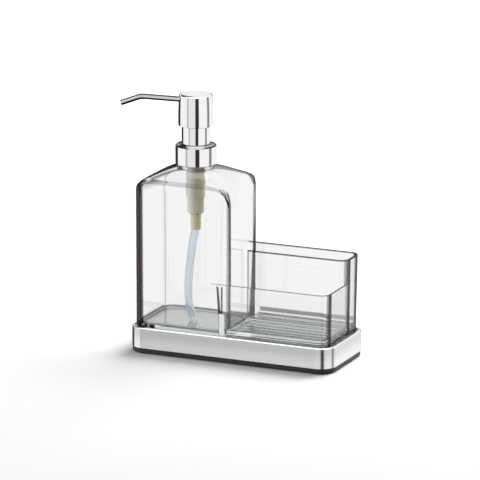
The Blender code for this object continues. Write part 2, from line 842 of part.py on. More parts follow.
def bow_at(z):
    """Offset of the tube from the axis at a height: a smooth curve through the guides."""
    for k in range(len(GUIDES) - 1):
        (z0, b0), (z1, b1) = GUIDES[k], GUIDES[k + 1]
        if z >= z1 or k == len(GUIDES) - 2:
            before = GUIDES[max(k - 1, 0)]
            after = GUIDES[min(k + 2, len(GUIDES) - 1)]
            m0 = (b1 - before[1]) / (z1 - before[0])
            m1 = (after[1] - b0) / (after[0] - z0)
            t, h = (z - z0) / (z1 - z0), z1 - z0
            return (
                (2 * t**3 - 3 * t**2 + 1) * b0
                + (t**3 - 2 * t**2 + t) * h * m0
                + (-2 * t**3 + 3 * t**2) * b1
                + (t**3 - t**2) * h * m1
            )


tube = [(AXIS_X, 0.0, TUBE_TOP), (AXIS_X, 0.0, 125.5)]
for i in range(21):
    z = 121.5 + (TUBE_END - 121.5) * i / 20
    tube.append((AXIS_X + bow_at(z), 0.0, z))
hollow_tube("dip_tube", tube, TUBE_R, TUBE_BORE, TUBE, 3)
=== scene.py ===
"""Looks of the sink organizer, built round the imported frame. Metres, +Z up; the shapes
are worked out in millimetres and scaled as they are made."""

import math

import bmesh
import bpy
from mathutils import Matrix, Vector


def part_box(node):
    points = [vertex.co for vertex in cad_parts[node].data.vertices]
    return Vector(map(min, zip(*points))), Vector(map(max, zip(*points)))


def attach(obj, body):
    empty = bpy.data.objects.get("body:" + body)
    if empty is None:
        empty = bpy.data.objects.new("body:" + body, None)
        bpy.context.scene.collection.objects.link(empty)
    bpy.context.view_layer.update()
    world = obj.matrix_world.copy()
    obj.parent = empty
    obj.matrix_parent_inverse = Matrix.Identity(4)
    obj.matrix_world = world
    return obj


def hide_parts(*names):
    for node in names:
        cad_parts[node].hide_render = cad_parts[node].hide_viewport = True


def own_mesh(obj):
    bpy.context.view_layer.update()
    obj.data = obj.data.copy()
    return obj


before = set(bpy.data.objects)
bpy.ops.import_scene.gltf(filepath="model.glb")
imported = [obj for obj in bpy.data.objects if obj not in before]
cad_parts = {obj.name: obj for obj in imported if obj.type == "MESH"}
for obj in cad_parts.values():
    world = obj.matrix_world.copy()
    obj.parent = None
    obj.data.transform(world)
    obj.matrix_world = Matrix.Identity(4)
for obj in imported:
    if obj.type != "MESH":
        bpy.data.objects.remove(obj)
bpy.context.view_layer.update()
scene = bpy.context.scene

MM = 0.001
tray_low, tray_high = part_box("steel_tray")
X_SHIFT = (tray_low.x + tray_high.x) / 2 / MM  # the tray's middle, along X

TRAY_LENGTH, TRAY_WIDTH, TRAY_CORNER = 220.2, 93.3, 16.5
SKIRT_BOTTOM, RIM_TOP, DECK_TOP = 5.6, 26.9, 25.0
SHEET, RIM_ROUND, RIM_WIDTH = 0.8, 1.9, 2.75

BOTTLE_LEFT, BOTTLE_RIGHT, BOTTLE_HALF_DEPTH = -105.8, -4.05, 40.5
BOTTLE_CORNER, BOTTLE_WALL, BOTTLE_FLOOR = 10.0, 2.6, 3.0
STAND_Z = 25.3
NECK_BASE, NECK_TOP = 187.2, 203.0
OVER_END = (155.5, 17.0, 7.7, 0.531, -0.0015)
OVER_LONG = (169.5, 6.6, 4.8, 0.44, 0.0055)
NECK_OUTER, NECK_INNER = 17.0, 14.6

AXIS_X = -54.9
COLLAR_R, COLLAR_BOTTOM, COLLAR_TOP = 20.6, 189.8, 210.6
SLEEVE_R, SLEEVE_TOP, SLEEVE_FOOT = 14.35, 232.0, 208.2
HEAD_R, HEAD_BOTTOM, HEAD_TOP = 17.7, 228.6, 260.8
NOZZLE_R, NOZZLE_BORE = 2.9, 2.1
NOZZLE_Z, NOZZLE_BEND, NOZZLE_REACH = 253.2, 59.8, 83.2
NOZZLE_DROOP, NOZZLE_DROP = 1.0, 21.8
TUBE_R, TUBE_BORE = 4.0, 3.0
FLANGE_TOP = NECK_TOP + 3.0
STEP_A, STEP_B, HOUSE_END = 155.4, 139.4, 122.4

CADDY_RIGHT, CADDY_HALF_DEPTH, CADDY_CORNER = 105.4, 43.1, 10.0
CADDY_WALL = 2.2
CADDY_EAR_END, CADDY_EAR_LEAN = -15.4, 4.6
CADDY_FLOOR_LEFT, DIVIDER_LEFT, DIVIDER_FRONT = -3.6, -1.8, 6.0
CADDY_LOW, CADDY_TALL, CADDY_FLOOR, RIB_TOP = 79.5, 104.0, 32.0, 33.7

AZIMUTH, ELEVATION = math.radians(23.71), math.radians(15.74)  # the main view


# ---------------------------------------------------------------- mesh helpers
def rounded(x0, x1, y0, y1, radii, steps):
    """Outline of a rectangle with rounded corners, anticlockwise from the front-left corner."""
    if not hasattr(radii, "__len__"):
        radii = (radii,) * 4
    centres = (
        (x0 + radii[0], y0 + radii[0], 180),
        (x1 - radii[1], y0 + radii[1], 270),
        (x1 - radii[2], y1 - radii[2], 0),
        (x0 + radii[3], y1 - radii[3], 90),
    )
    points = []
    for (cx, cy, start), r in zip(centres, radii):
        for i in range(steps + 1):
            a = math.radians(start + 90 * i / steps)
            points.append((cx + r * math.cos(a), cy + r * math.sin(a)))
    return points


def ring(outline, z):
    return [(x, y, z) for x, y in outline]


def arc(cx, cy, r, start, end, steps):
    """Points of an arc, angles in degrees."""
    return [
        (
            cx + r * math.cos(math.radians(start + (end - start) * i / steps)),
            cy + r * math.sin(math.radians(start + (end - start) * i / steps)),
        )
        for i in range(steps + 1)
    ]


def new_object(name, bm, sharp=40, weighted=True):
    mesh = bpy.data.meshes.new(name)
    bmesh.ops.recalc_face_normals(bm, faces=bm.faces)
    if bm.calc_volume(signed=True) < 0:
        bmesh.ops.reverse_faces(bm, faces=bm.faces)
    bm.to_mesh(mesh)
    bm.free()
    mesh.shade_smooth()
    mesh.set_sharp_from_angle(angle=math.radians(sharp))
    obj = bpy.data.objects.new(name, mesh)
    scene.collection.objects.link(obj)
    if weighted:
        even = obj.modifiers.new("Even", "WEIGHTED_NORMAL")
        even.keep_sharp = True
    return obj


def vert(bm, x, y, z):
    return bm.verts.new(((x + X_SHIFT) * MM, y * MM, z * MM))


def strip(bm, low, high, closed=True):
    """Quads between two rows of vertices."""
    count = len(low)
    for i in range(count if closed else count - 1):
        j = (i + 1) % count
        corners = []
        for v in (low[i], low[j], high[j], high[i]):
            if v not in corners:
                corners.append(v)
        if len(corners) > 2:
            bm.faces.new(corners)


def loft(name, rings, cap=True, sharp=40):
    bm = bmesh.new()
    rows = [[vert(bm, *p) for p in points] for points in rings]
    for low, high in zip(rows, rows[1:]):
        strip(bm, low, high)
    if cap:
        bm.faces.new(list(reversed(rows[0])))
        bm.faces.new(rows[-1])
    else:
        strip(bm, rows[-1], rows[0])
    return new_object(name, bm, sharp)


def turned(name, profile, steps=96, sharp=35, axis_x=AXIS_X):
    """A turned piece on the pump's axis. profile is a closed loop of (radius, z)."""
    bm = bmesh.new()
    columns = []
    for k in range(steps):
        a = 2 * math.pi * k / steps
        columns.append(
            [
                vert(bm, axis_x + r * math.cos(a), r * math.sin(a), z) if r > 1e-6 else None
                for r, z in profile
            ]
        )
    middle = {i: vert(bm, axis_x, 0, z) for i, (r, z) in enumerate(profile) if r <= 1e-6}
    rows = [
        [middle[i] if column[i] is None else column[i] for i in range(len(profile))]
        for column in columns
    ]
    for k in range(steps):
        strip(bm, rows[k], rows[(k + 1) % steps], closed=not middle)
    return new_object(name, bm, sharp)


def smooth_path(points, samples):
    """A Catmull-Rom curve through the points, sampled evenly in its parameter."""
    ends = [points[0] * 2 - points[1]] + points + [points[-1] * 2 - points[-2]]
    made = []
    for i in range(len(points) - 1):
        p0, p1, p2, p3 = ends[i : i + 4]
        for k in range(samples):
            t = k / samples
            made.append(
                0.5
                * (
                    2 * p1
                    + (p2 - p0) * t
                    + (2 * p0 - 5 * p1 + 4 * p2 - p3) * t**2
                    + (3 * p1 - p0 - 3 * p2 + p3) * t**3
                )
            )
    made.append(points[-1])
    return made


def pipe(name, path, outer, bore, sides=36, lip=0.25):
    """A hollow pipe along a path in the X-Z plane, its two ends slightly rounded."""
    bm = bmesh.new()
    last = len(path) - 1
    frames = []
    for i, p in enumerate(path):
        along = (path[min(i + 1, last)] - path[max(i - 1, 0)]).normalized()
        frames.append((p, Vector((0, 1, 0)), along.cross(Vector((0, 1, 0))), along))

    def circle(p, u, v, r):
        return [
            vert(bm, *(p + u * (r * math.cos(a)) + v * (r * math.sin(a))))
            for a in (2 * math.pi * k / sides for k in range(sides))
        ]

    rows = []
    p, u, v, along = frames[0]
    for inset, back in ((lip, 0.0), (lip * 0.3, lip * 0.3), (0.0, lip)):
        rows.append(circle(p + along * back, u, v, outer - inset))
    for p, u, v, along in frames[1:-1]:
        rows.append(circle(p, u, v, outer))
    p, u, v, along = frames[-1]
    for inset, back in ((0.0, lip), (lip * 0.3, lip * 0.3), (lip, 0.0)):
        rows.append(circle(p - along * back, u, v, outer - inset))
    rows.append(circle(p, u, v, bore))
    for p, u, v, along in reversed(frames[1:-1]):
        rows.append(circle(p, u, v, bore))
    p, u, v, along = frames[0]
    rows.append(circle(p, u, v, bore))
    for low, high in zip(rows, rows[1:]):
        strip(bm, low, high)
    strip(bm, rows[-1], rows[0])
    return new_object(name, bm, 50, weighted=False)


def apply_modifiers(obj):
    graph = bpy.context.evaluated_depsgraph_get()
    mesh = bpy.data.meshes.new_from_object(obj.evaluated_get(graph), depsgraph=graph)
    old = obj.data
    obj.modifiers.clear()
    obj.data = mesh
    bpy.data.meshes.remove(old)


# ---------------------------------------------------------------- node helpers
class Tree:
    """A short way to add nodes: each method returns an output socket."""

    def __init__(self, owner):
        owner.use_nodes = True
        self.tree = owner.node_tree
        self.tree.nodes.clear()

    def node(self, kind, **settings):
        made = self.tree.nodes.new(kind)
        for key, value in settings.items():
            setattr(made, key, value)
        return made

    def feed(self, socket, value):
        if isinstance(value, bpy.types.NodeSocket):
            self.tree.links.new(value, socket)
        elif hasattr(value, "__len__") and socket.type == "RGBA" and len(value) == 3:
            socket.default_value = (*value, 1.0)
        else:
            socket.default_value = value

    def math(self, operation, *values, clamp=False):
        made = self.node("ShaderNodeMath", operation=operation, use_clamp=clamp)
        for socket, value in zip(made.inputs, values):
            self.feed(socket, value)
        return made.outputs[0]

    def ramp(self, value, low, high, to_low=0.0, to_high=1.0, smooth=True):
        made = self.node(
            "ShaderNodeMapRange",
            interpolation_type="SMOOTHSTEP" if smooth else "LINEAR",
            clamp=True,
        )
        for key, v in (
            ("Value", value),
            ("From Min", low),
            ("From Max", high),
            ("To Min", to_low),
            ("To Max", to_high),
        ):
            self.feed(made.inputs[key], v)
        return made.outputs["Result"]

    def band(self, value, low, high, soft):
        """1 between low and high, 0 outside, with soft edges."""
        return self.math(
            "SUBTRACT",
            self.ramp(value, low - soft, low + soft),
            self.ramp(value, high - soft, high + soft),
        )

    def mix(self, factor, a, b):
        made = self.node("ShaderNodeMix", data_type="RGBA")
        self.feed(made.inputs["Factor"], factor)
        self.feed(made.inputs[6], a)
        self.feed(made.inputs[7], b)
        return made.outputs[2]

    def place(self, scale=(1, 1, 1)):
        """Object coordinates, stretched."""
        where = self.node("ShaderNodeTexCoord").outputs["Object"]
        mapping = self.node("ShaderNodeMapping")
        self.feed(mapping.inputs["Vector"], where)
        mapping.inputs["Scale"].default_value = scale
        return mapping.outputs["Vector"]

    def noise(self, scale, stretch=(1, 1, 1), detail=2.0, rough=0.5):
        made = self.node("ShaderNodeTexNoise")
        self.feed(made.inputs["Vector"], self.place(stretch))
        self.feed(made.inputs["Scale"], scale)
        self.feed(made.inputs["Detail"], detail)
        self.feed(made.inputs["Roughness"], rough)
        return made.outputs[0]

    def bump(self, height, strength, distance):
        made = self.node("ShaderNodeBump")
        self.feed(made.inputs["Strength"], strength)
        self.feed(made.inputs["Distance"], distance)
        self.feed(made.inputs["Height"], height)
        return made.outputs["Normal"]

    def principled(self, **inputs):
        made = self.node("ShaderNodeBsdfPrincipled")
        for key, value in inputs.items():
            self.feed(made.inputs[key.replace("_", " ")], value)
        return made.outputs[0]

    def finish(self, shader, volume=None):
        out = self.node("ShaderNodeOutputMaterial")
        self.tree.links.new(shader, out.inputs["Surface"])
        if volume is not None:
            self.tree.links.new(volume, out.inputs["Volume"])


def material(name):
    made = bpy.data.materials.new(name)
    return made, Tree(made)


# ---------------------------------------------------------------- materials
def brushed_steel():
    """Satin steel brushed along its length, so that reflections smear up and down only."""
    made, t = material("steel_brushed")
    long_lines = t.noise(1.0, (25, 2600, 2600), 2.0, 0.6)
    end_lines = t.noise(1.0, (2600, 25, 2600), 2.0, 0.6)
    normal = t.node("ShaderNodeNewGeometry").outputs["Normal"]
    apart = t.node("ShaderNodeSeparateXYZ")
    t.feed(apart.inputs[0], normal)
    on_end = t.ramp(t.math("ABSOLUTE", apart.outputs["X"]), 0.35, 0.9)
    lines = t.node("ShaderNodeMix", data_type="FLOAT")
    t.feed(lines.inputs["Factor"], on_end)
    t.feed(lines.inputs[2], long_lines)
    t.feed(lines.inputs[3], end_lines)
    grain = lines.outputs[0]
    streaks = t.noise(1.0, (9, 700, 700), 3.0, 0.55)
    where = t.node("ShaderNodeTexCoord").outputs["Object"]
    place = t.node("ShaderNodeSeparateXYZ")
    t.feed(place.inputs[0], where)
    # Painted shade: the upright faces of the skirt are painted darker grey towards their top, under the rim.
    painted_shade_under_rim = t.ramp(place.outputs["Z"], 0.010, 0.0225)
    tone = t.math(
        "ADD",
        t.ramp(grain, 0.3, 0.7, 0.0, 0.5, False),
        t.ramp(streaks, 0.3, 0.7, 0.0, 0.5, False),
    )
    colour = t.mix(tone, (0.84, 0.84, 0.835), (0.95, 0.95, 0.945))
    side = t.math("SUBTRACT", 1.0, t.ramp(t.math("ABSOLUTE", apart.outputs["Z"]), 0.15, 0.4))
    colour = t.mix(t.math("MULTIPLY", t.math("MULTIPLY", painted_shade_under_rim, side), 0.42), colour, (0.45, 0.45, 0.45))
    # Painted shade: the deck's upward faces are painted a darker grey.
    painted_deck_shade = t.math("MULTIPLY", t.ramp(apart.outputs["Z"], 0.85, 0.97), t.ramp(place.outputs["Z"], 0.0262, 0.0256))
    colour = t.mix(t.math("MULTIPLY", painted_deck_shade, 0.85), colour, (0.33, 0.35, 0.345))
    tangent = t.node("ShaderNodeTangent", direction_type="RADIAL", axis="Z")
    rough = t.ramp(grain, 0.2, 0.8, 0.2, 0.3, False)
    shader = t.principled(
        Base_Color=colour,
        Metallic=1.0,
        Roughness=rough,
        Anisotropic=0.75,
        Anisotropic_Rotation=0.25,
        Tangent=tangent.outputs[0],
        Normal=t.bump(grain, 0.06, 0.00006),
    )
    t.finish(shader)
    return made


def chrome(name, rough=0.07, painted_reflections=None):
    """Bright plate with faint handling marks, and, where a list of masks is given, painted reflections: dark and grey
    stripes painted into its colour.
    """
    made, t = material(name)
    haze = t.noise(180, (1, 1, 1), 4.0, 0.6)
    marks = t.noise(900, (1, 1, 0.25), 2.0, 0.5)
    colour = t.mix(haze, (0.86, 0.865, 0.87), (0.93, 0.93, 0.93))
    if painted_reflections:
        apart = t.node("ShaderNodeSeparateXYZ")
        t.feed(apart.inputs[0], t.node("ShaderNodeNewGeometry").outputs["Normal"])
        where = t.node("ShaderNodeSeparateXYZ")
        t.feed(where.inputs[0], t.node("ShaderNodeTexCoord").outputs["Object"])
        height = t.math("MULTIPLY", where.outputs["Z"], 1000.0)
        # Painted reflections: each mask paints a dark or grey reflection into the plate's colour.
        for mask, tone in painted_reflections(t, apart.outputs, height):
            colour = t.mix(mask, colour, tone)
    shader = t.principled(
        Base_Color=colour,
        Metallic=1.0,
        Roughness=t.ramp(t.math("MULTIPLY", haze, marks), 0.1, 0.5, rough * 0.8, rough * 1.5, False),
        Normal=t.bump(marks, 0.02, 0.00002),
    )
    t.finish(shader)
    return made


def spout_painted_reflections(t, normal, height):
    """Painted reflections: the dark stripes that a thin polished tube shows above and below its bright line, painted
    into its colour.
    """
    above = t.band(normal[2], 0.52, 0.86, 0.04)
    below = t.band(normal[2], -0.86, -0.14, 0.05)
    return ((t.math("MULTIPLY", above, 0.9), (0.03, 0.03, 0.03)), (t.math("MULTIPLY", below, 0.88), (0.03, 0.03, 0.035)))


def collar_painted_reflections(t, normal, height):
    """The collar's sloping top: painted grey, with painted dark reflections at both sides and painted shade round the
    sleeve's foot.
    """
    across = t.math("ABSOLUTE", t.math("ADD", t.math("MULTIPLY", normal[0], 0.9156), t.math("MULTIPLY", normal[1], 0.4021)))
    slope = t.ramp(normal[2], 0.12, 0.3)
    ends = t.math("MULTIPLY", t.ramp(across, 0.2, 0.4), slope)
    foot = t.ramp(height, COLLAR_TOP - 0.75, COLLAR_TOP - 0.45)
    return (
        (t.math("MULTIPLY", slope, 0.85), (0.36, 0.36, 0.365)),
        (t.math("MULTIPLY", ends, 0.93), (0.03, 0.03, 0.035)),
        (t.math("MULTIPLY", foot, 0.8), (0.06, 0.06, 0.06)),
    )


def moulded(name, dark, light, rough, grain=1800, bump=0.25, **more):
    """Moulded plastic or rubber with a fine surface texture."""
    made, t = material(name)
    broad = t.noise(90, (1, 1, 1), 3.0, 0.55)
    fine = t.noise(grain, (1, 1, 1), 2.0, 0.6)
    shader = t.principled(
        Base_Color=t.mix(broad, dark, light),
        Roughness=t.ramp(fine, 0.25, 0.75, rough * 0.85, min(rough * 1.2, 1.0), False),
        Normal=t.bump(fine, bump, 0.00005),
        **more,
    )
    t.finish(shader)
    return made


def clear(name, tint, density, edge, painted_edge_depth, painted_rim_lines=(), local=None, calm=(), pass_light=0.94):
    """Clear moulded plastic, whose rounded corners and rims are painted dark as they curve away, as painted dark
    reflections.
    Light for shadows goes straight through, so that the shadow stays pale."""
    made, t = material(name)
    swirl = t.noise(60, (1, 1, 0.5), 2.0, 0.5)
    fine = t.noise(700, (1, 1, 1), 2.0, 0.5)
    apart = t.node("ShaderNodeSeparateXYZ")
    shape = t.node("ShaderNodeNewGeometry")
    t.feed(apart.inputs[0], shape.outputs["Normal"])
    nx, ny, nz = (t.math("ABSOLUTE", out) for out in apart.outputs)
    facing = t.node("ShaderNodeLayerWeight").outputs["Facing"]
    upright = t.ramp(nz, 0.5, 0.2)
    # Painted dark reflections: rounded corners are painted towards the edge colour where they turn away.
    painted_edge_shade = t.math("MULTIPLY", t.ramp(t.math("MULTIPLY", nx, ny), 0.02, 0.16), t.ramp(facing, 0.22, 0.48))
    painted_edge_shade = t.math("MULTIPLY", painted_edge_shade, painted_edge_depth)
    where = t.node("ShaderNodeSeparateXYZ")
    t.feed(where.inputs[0], t.node("ShaderNodeTexCoord").outputs["Object"])
    place = [t.math("MULTIPLY", where.outputs[axis], 1000.0) for axis in "XYZ"]
    place[0] = t.math("SUBTRACT", place[0], X_SHIFT)
    # The painted dark reflections are weakened at the listed calm spots.
    for x_from, y_to in calm:
        quiet = t.math("MULTIPLY", t.ramp(place[0], x_from - 1, x_from + 1), t.ramp(place[1], y_to + 1, y_to - 1))
        painted_edge_shade = t.math("MULTIPLY", painted_edge_shade, t.math("SUBTRACT", 1.0, t.math("MULTIPLY", quiet, 0.85)))
    painted_edge_shade = t.math("MULTIPLY", painted_edge_shade, t.math("ADD", t.math("MULTIPLY", upright, 0.5), 0.5))
    body = t.mix(swirl, (0.985, 0.992, 0.99), (1.0, 1.0, 1.0))
    body = t.mix(painted_edge_shade, body, edge)
    # Painted dark rim lines: bands at the listed heights are painted near black.
    for low, high, depth in painted_rim_lines:
        here = t.math("MULTIPLY", t.band(where.outputs["Z"], low, high, 0.0004), t.ramp(nz, 0.15, 0.45))
        body = t.mix(t.math("MULTIPLY", here, depth), body, (0.12, 0.13, 0.13))
    rough = t.ramp(fine, 0.3, 0.7, 0.0, 0.02, False)
    clearness, sheen = 1.0, (1.0, 1.0, 1.0)
    if local:
        outside = t.math("SUBTRACT", 1.0, shape.outputs["Backfacing"])
        marks, frosted = local(t, place, (nx, ny, nz), facing, outside)
        sheen = (1.0, 1.0, 1.0)
        painted_dark_mask = 0.0
        # Painted shade and reflections: each local mark is painted into the colour, and the dark ones also dim the
        # specular tint.
        for mask, colour in marks:
            body = t.mix(mask, body, colour)
            if max(colour) < 0.2:
                sheen = t.mix(mask, sheen, (0.06, 0.05, 0.055))
                painted_dark_mask = t.math("MAXIMUM", painted_dark_mask, mask)
        if frosted is not None:
            body = t.mix(frosted, body, (0.92, 0.93, 0.93))
            rough = t.math("ADD", rough, t.math("MULTIPLY", frosted, 0.5))
            clearness = t.math("SUBTRACT", 1.0, t.math("MULTIPLY", frosted, 0.8))
    glass = t.principled(
        Base_Color=body,
        Roughness=rough,
        IOR=1.49,
        Transmission_Weight=clearness,
        Specular_Tint=sheen,
        Normal=t.bump(swirl, 0.03, 0.0002),
    )
    # Painted shade: where the dark marks are, a dark diffuse takes over from the glass.
    if local:
        painted_dark_diffuse = t.node("ShaderNodeBsdfDiffuse")
        painted_dark_diffuse.inputs["Color"].default_value = (0.05, 0.036, 0.042, 1)
        both = t.node("ShaderNodeMixShader")
        t.feed(both.inputs[0], all_of(t, painted_dark_mask, t.ramp(facing, 0.28, 0.55), 0.85))
        t.tree.links.new(glass, both.inputs[1])
        t.tree.links.new(painted_dark_diffuse.outputs[0], both.inputs[2])
        glass = both.outputs[0]
    through = t.node("ShaderNodeBsdfTransparent")
    through.inputs["Color"].default_value = (pass_light, pass_light * 1.004, pass_light * 1.004, 1)
    chosen = t.node("ShaderNodeMixShader")
    t.feed(chosen.inputs[0], t.node("ShaderNodeLightPath").outputs["Is Shadow Ray"])
    t.tree.links.new(glass, chosen.inputs[1])
    t.tree.links.new(through.outputs[0], chosen.inputs[2])
    absorb = t.node("ShaderNodeVolumeAbsorption")
    absorb.inputs["Color"].default_value = (*tint, 1)
    absorb.inputs["Density"].default_value = density
    t.finish(chosen.outputs[0], absorb.outputs[0])
    return made


def all_of(t, *masks):
    total = masks[0]
    for mask in masks[1:]:
        total = t.math("MULTIPLY", total, mask)
    return total


def bottle_painted_edges(t, place, normal, facing, outside):
    """Painted dark reflections: where the thick corners of the bottle gather the dark of the room, and on its crease,
    ridge, outline and low wall, the colour is painted darker.
    """
    x, y, z = place
    nx, ny, nz = normal
    upright = t.ramp(nz, 0.6, 0.3)
    core = t.math("SUBTRACT", 0.97, t.math("MULTIPLY", t.band(nx, 0.36, 0.44, 0.06), 0.12))
    front_left = all_of(t, t.ramp(x, -94.2, -95.6), t.ramp(y, -29.5, -31.5), core, t.ramp(facing, 0.02, 0.11))
    down = t.math("MULTIPLY", t.math("SUBTRACT", z, 48.0), 0.11)
    rear_right = all_of(t, t.ramp(t.math("SUBTRACT", y, down), 19.5, 21.5), t.ramp(x, -11.0, -9.0), upright)
    front_right = all_of(t, t.ramp(y, -34.2, -33.2), t.ramp(y, -28.0, -30.0), t.ramp(x, -9.0, -7.0), upright)
    from_end = t.math("SUBTRACT", BOTTLE_RIGHT, x)
    from_long = t.math("SUBTRACT", BOTTLE_HALF_DEPTH, t.math("ABSOLUTE", y))
    bowed = t.math("MULTIPLY", t.math("MULTIPLY", from_long, from_long), OVER_LONG[4])
    over_end = t.math("ADD", OVER_END[0] + OVER_END[1], t.math("MULTIPLY", from_end, OVER_END[3]))
    over_long = t.math("ADD", t.math("ADD", OVER_LONG[0] + OVER_LONG[1], t.math("MULTIPLY", from_long, OVER_LONG[3])), bowed)
    apart = t.math("ABSOLUTE", t.math("SUBTRACT", over_end, over_long))
    stripe = t.math("SUBTRACT", 1.0, t.math("MULTIPLY", t.band(apart, 1.5, 2.3, 0.3), 0.55))
    ridge = all_of(t, t.ramp(apart, 4.9, 3.9), stripe, t.ramp(y, 0.0, 4.0), t.ramp(x, -42.0, -38.0), t.ramp(z, 173, 178))
    shoulder_corner = all_of(t, t.ramp(x, -17.0, -13.5), t.ramp(y, 26.0, 30.5), t.ramp(z, 164, 170), t.ramp(facing, 0.4, 0.6))
    crease = all_of(t, t.band(nz, 0.40, 0.80, 0.06), t.ramp(y, -32.5, -34.5), t.ramp(z, 166, 169), outside)
    foot = t.math("ADD", z, t.math("MULTIPLY", y, 0.258))
    low_wall = all_of(t, t.ramp(foot, 42.0, 39.0), t.ramp(x, -14.0, -11.0), t.ramp(z, 29.0, 30.5))
    outline = all_of(t, t.ramp(facing, 0.6, 0.8), t.ramp(z, 160, 166))
    # Painted dark reflections and shade: every mark below paints a darker colour, none is the plastic's own.
    dark = (0.075, 0.05, 0.06)
    return (
        (t.math("MULTIPLY", low_wall, 0.9), (0.42, 0.37, 0.39)),
        (t.math("MULTIPLY", front_right, 0.8), dark),
        (t.math("MULTIPLY", rear_right, 0.93), dark),
        (front_left, dark),
        (t.math("MULTIPLY", crease, 0.8), (0.22, 0.24, 0.28)),
        (t.math("MULTIPLY", outline, 0.88), (0.11, 0.08, 0.095)),
        (t.math("MULTIPLY", ridge, 0.86), (0.10, 0.075, 0.09)),
        (t.math("MULTIPLY", shoulder_corner, 0.8), (0.12, 0.09, 0.10)),
    ), None


def caddy_painted_edges(t, place, normal, facing, outside):
    """The same painted dark reflections and shade for the caddy: its corners, its rims, its ribs, its side wall, its
    slab and the V strokes on its front ear. The front ear's end is frosted.
    """
    x, y, z = place
    nx, ny, nz = normal
    upright = t.ramp(nz, 0.6, 0.3)
    dark = (0.09, 0.07, 0.08)
    right_end = t.ramp(x, 97.0, 100.0)
    wall = all_of(t, right_end, t.ramp(nx, 0.8, 0.95))
    front_right = all_of(t, t.ramp(y, -37.0, -36.0), t.ramp(y, -29.5, -31.5), right_end, upright)
    middle = all_of(t, t.ramp(y, 9.5, 11.0), t.ramp(y, 17.5, 15.5), t.ramp(x, 99.0, 101.0), upright)
    rear_right = all_of(t, t.ramp(y, 28.5, 31.5), right_end, upright)
    tall_rim = t.ramp(z, 102.5, 102.8)
    low_rim = all_of(t, t.band(z, 78.9, 79.6, 0.15), t.ramp(y, 5.0, 4.0))
    left_end = all_of(t, t.ramp(x, 0.5, -0.5), t.ramp(y, 4.5, 5.5), t.ramp(y, 10.5, 9.0))
    front = t.ramp(y, -38.0, -40.0)
    ear_low = t.ramp(z, 50.0, 48.5)
    ear_high = t.math("SUBTRACT", 1.0, ear_low)
    rise = t.math("SUBTRACT", z, 50.0)
    first = t.math("ADD", x, t.math("ADD", 11.1, t.math("MULTIPLY", rise, 0.088)))
    second = t.math("ADD", x, t.math("SUBTRACT", 8.4, t.math("MULTIPLY", rise, 0.008)))
    below = t.ramp(z, 77.5, 76.5)
    stroke = t.math("ADD", t.band(first, -1.3, 1.5, 0.3), t.band(second, -0.8, 0.8, 0.3), clamp=True)
    rear_foot = all_of(t, t.ramp(y, 37.5, 38.5), t.band(z, 33.8, 38.2, 0.4), t.ramp(x, -3.0, -1.0))
    slab = t.ramp(z, 32.2, 31.4)
    mottle = t.noise(1.0, (260, 160, 420), 3.0, 0.6)
    slab_end = all_of(t, t.ramp(x, 100.5, 102.5), slab, t.ramp(mottle, 0.36, 0.6))
    streak = t.noise(1.0, (22, 22, 900), 3.0, 0.6)
    slab_front = all_of(t, t.ramp(y, -39.5, -41.0), slab, t.ramp(streak, 0.44, 0.58), t.ramp(x, -4.0, -2.0))
    stroke = all_of(t, stroke, front, ear_high, below)
    frosted = all_of(t, t.band(x, -11.2, -5.9, 0.4), front, ear_low, t.ramp(z, 26.5, 28.0))
    ribs = all_of(t, t.ramp(ny, 0.25, 0.6), t.band(z, 32.2, 33.6, 0.2), t.ramp(t.math("ABSOLUTE", y), 36.9, 36.4))
    # Painted dark reflections and shade: each mark below paints its colour in; only frosted is a finish of the plastic
    # itself.
    return (
        (t.math("MULTIPLY", wall, 0.9), (0.80, 0.82, 0.81)),
        (t.math("MULTIPLY", ribs, 0.88), (0.15, 0.17, 0.165)),
        (t.math("MULTIPLY", left_end, 0.6), (0.25, 0.26, 0.26)),
        (t.math("MULTIPLY", front_right, 0.85), dark),
        (t.math("MULTIPLY", middle, 0.88), dark),
        (t.math("MULTIPLY", rear_right, 0.85), dark),
        (t.math("MULTIPLY", tall_rim, 0.88), (0.10, 0.105, 0.105)),
        (t.math("MULTIPLY", rear_foot, 0.85), (0.11, 0.11, 0.115)),
        (t.math("MULTIPLY", slab_end, 0.85), (0.34, 0.335, 0.33)),
        (t.math("MULTIPLY", slab_front, 0.8), (0.16, 0.18, 0.175)),
        (t.math("MULTIPLY", low_rim, 0.35), (0.30, 0.31, 0.31)),
        (t.math("MULTIPLY", stroke, 0.9), (0.06, 0.055, 0.055)),
    ), frosted


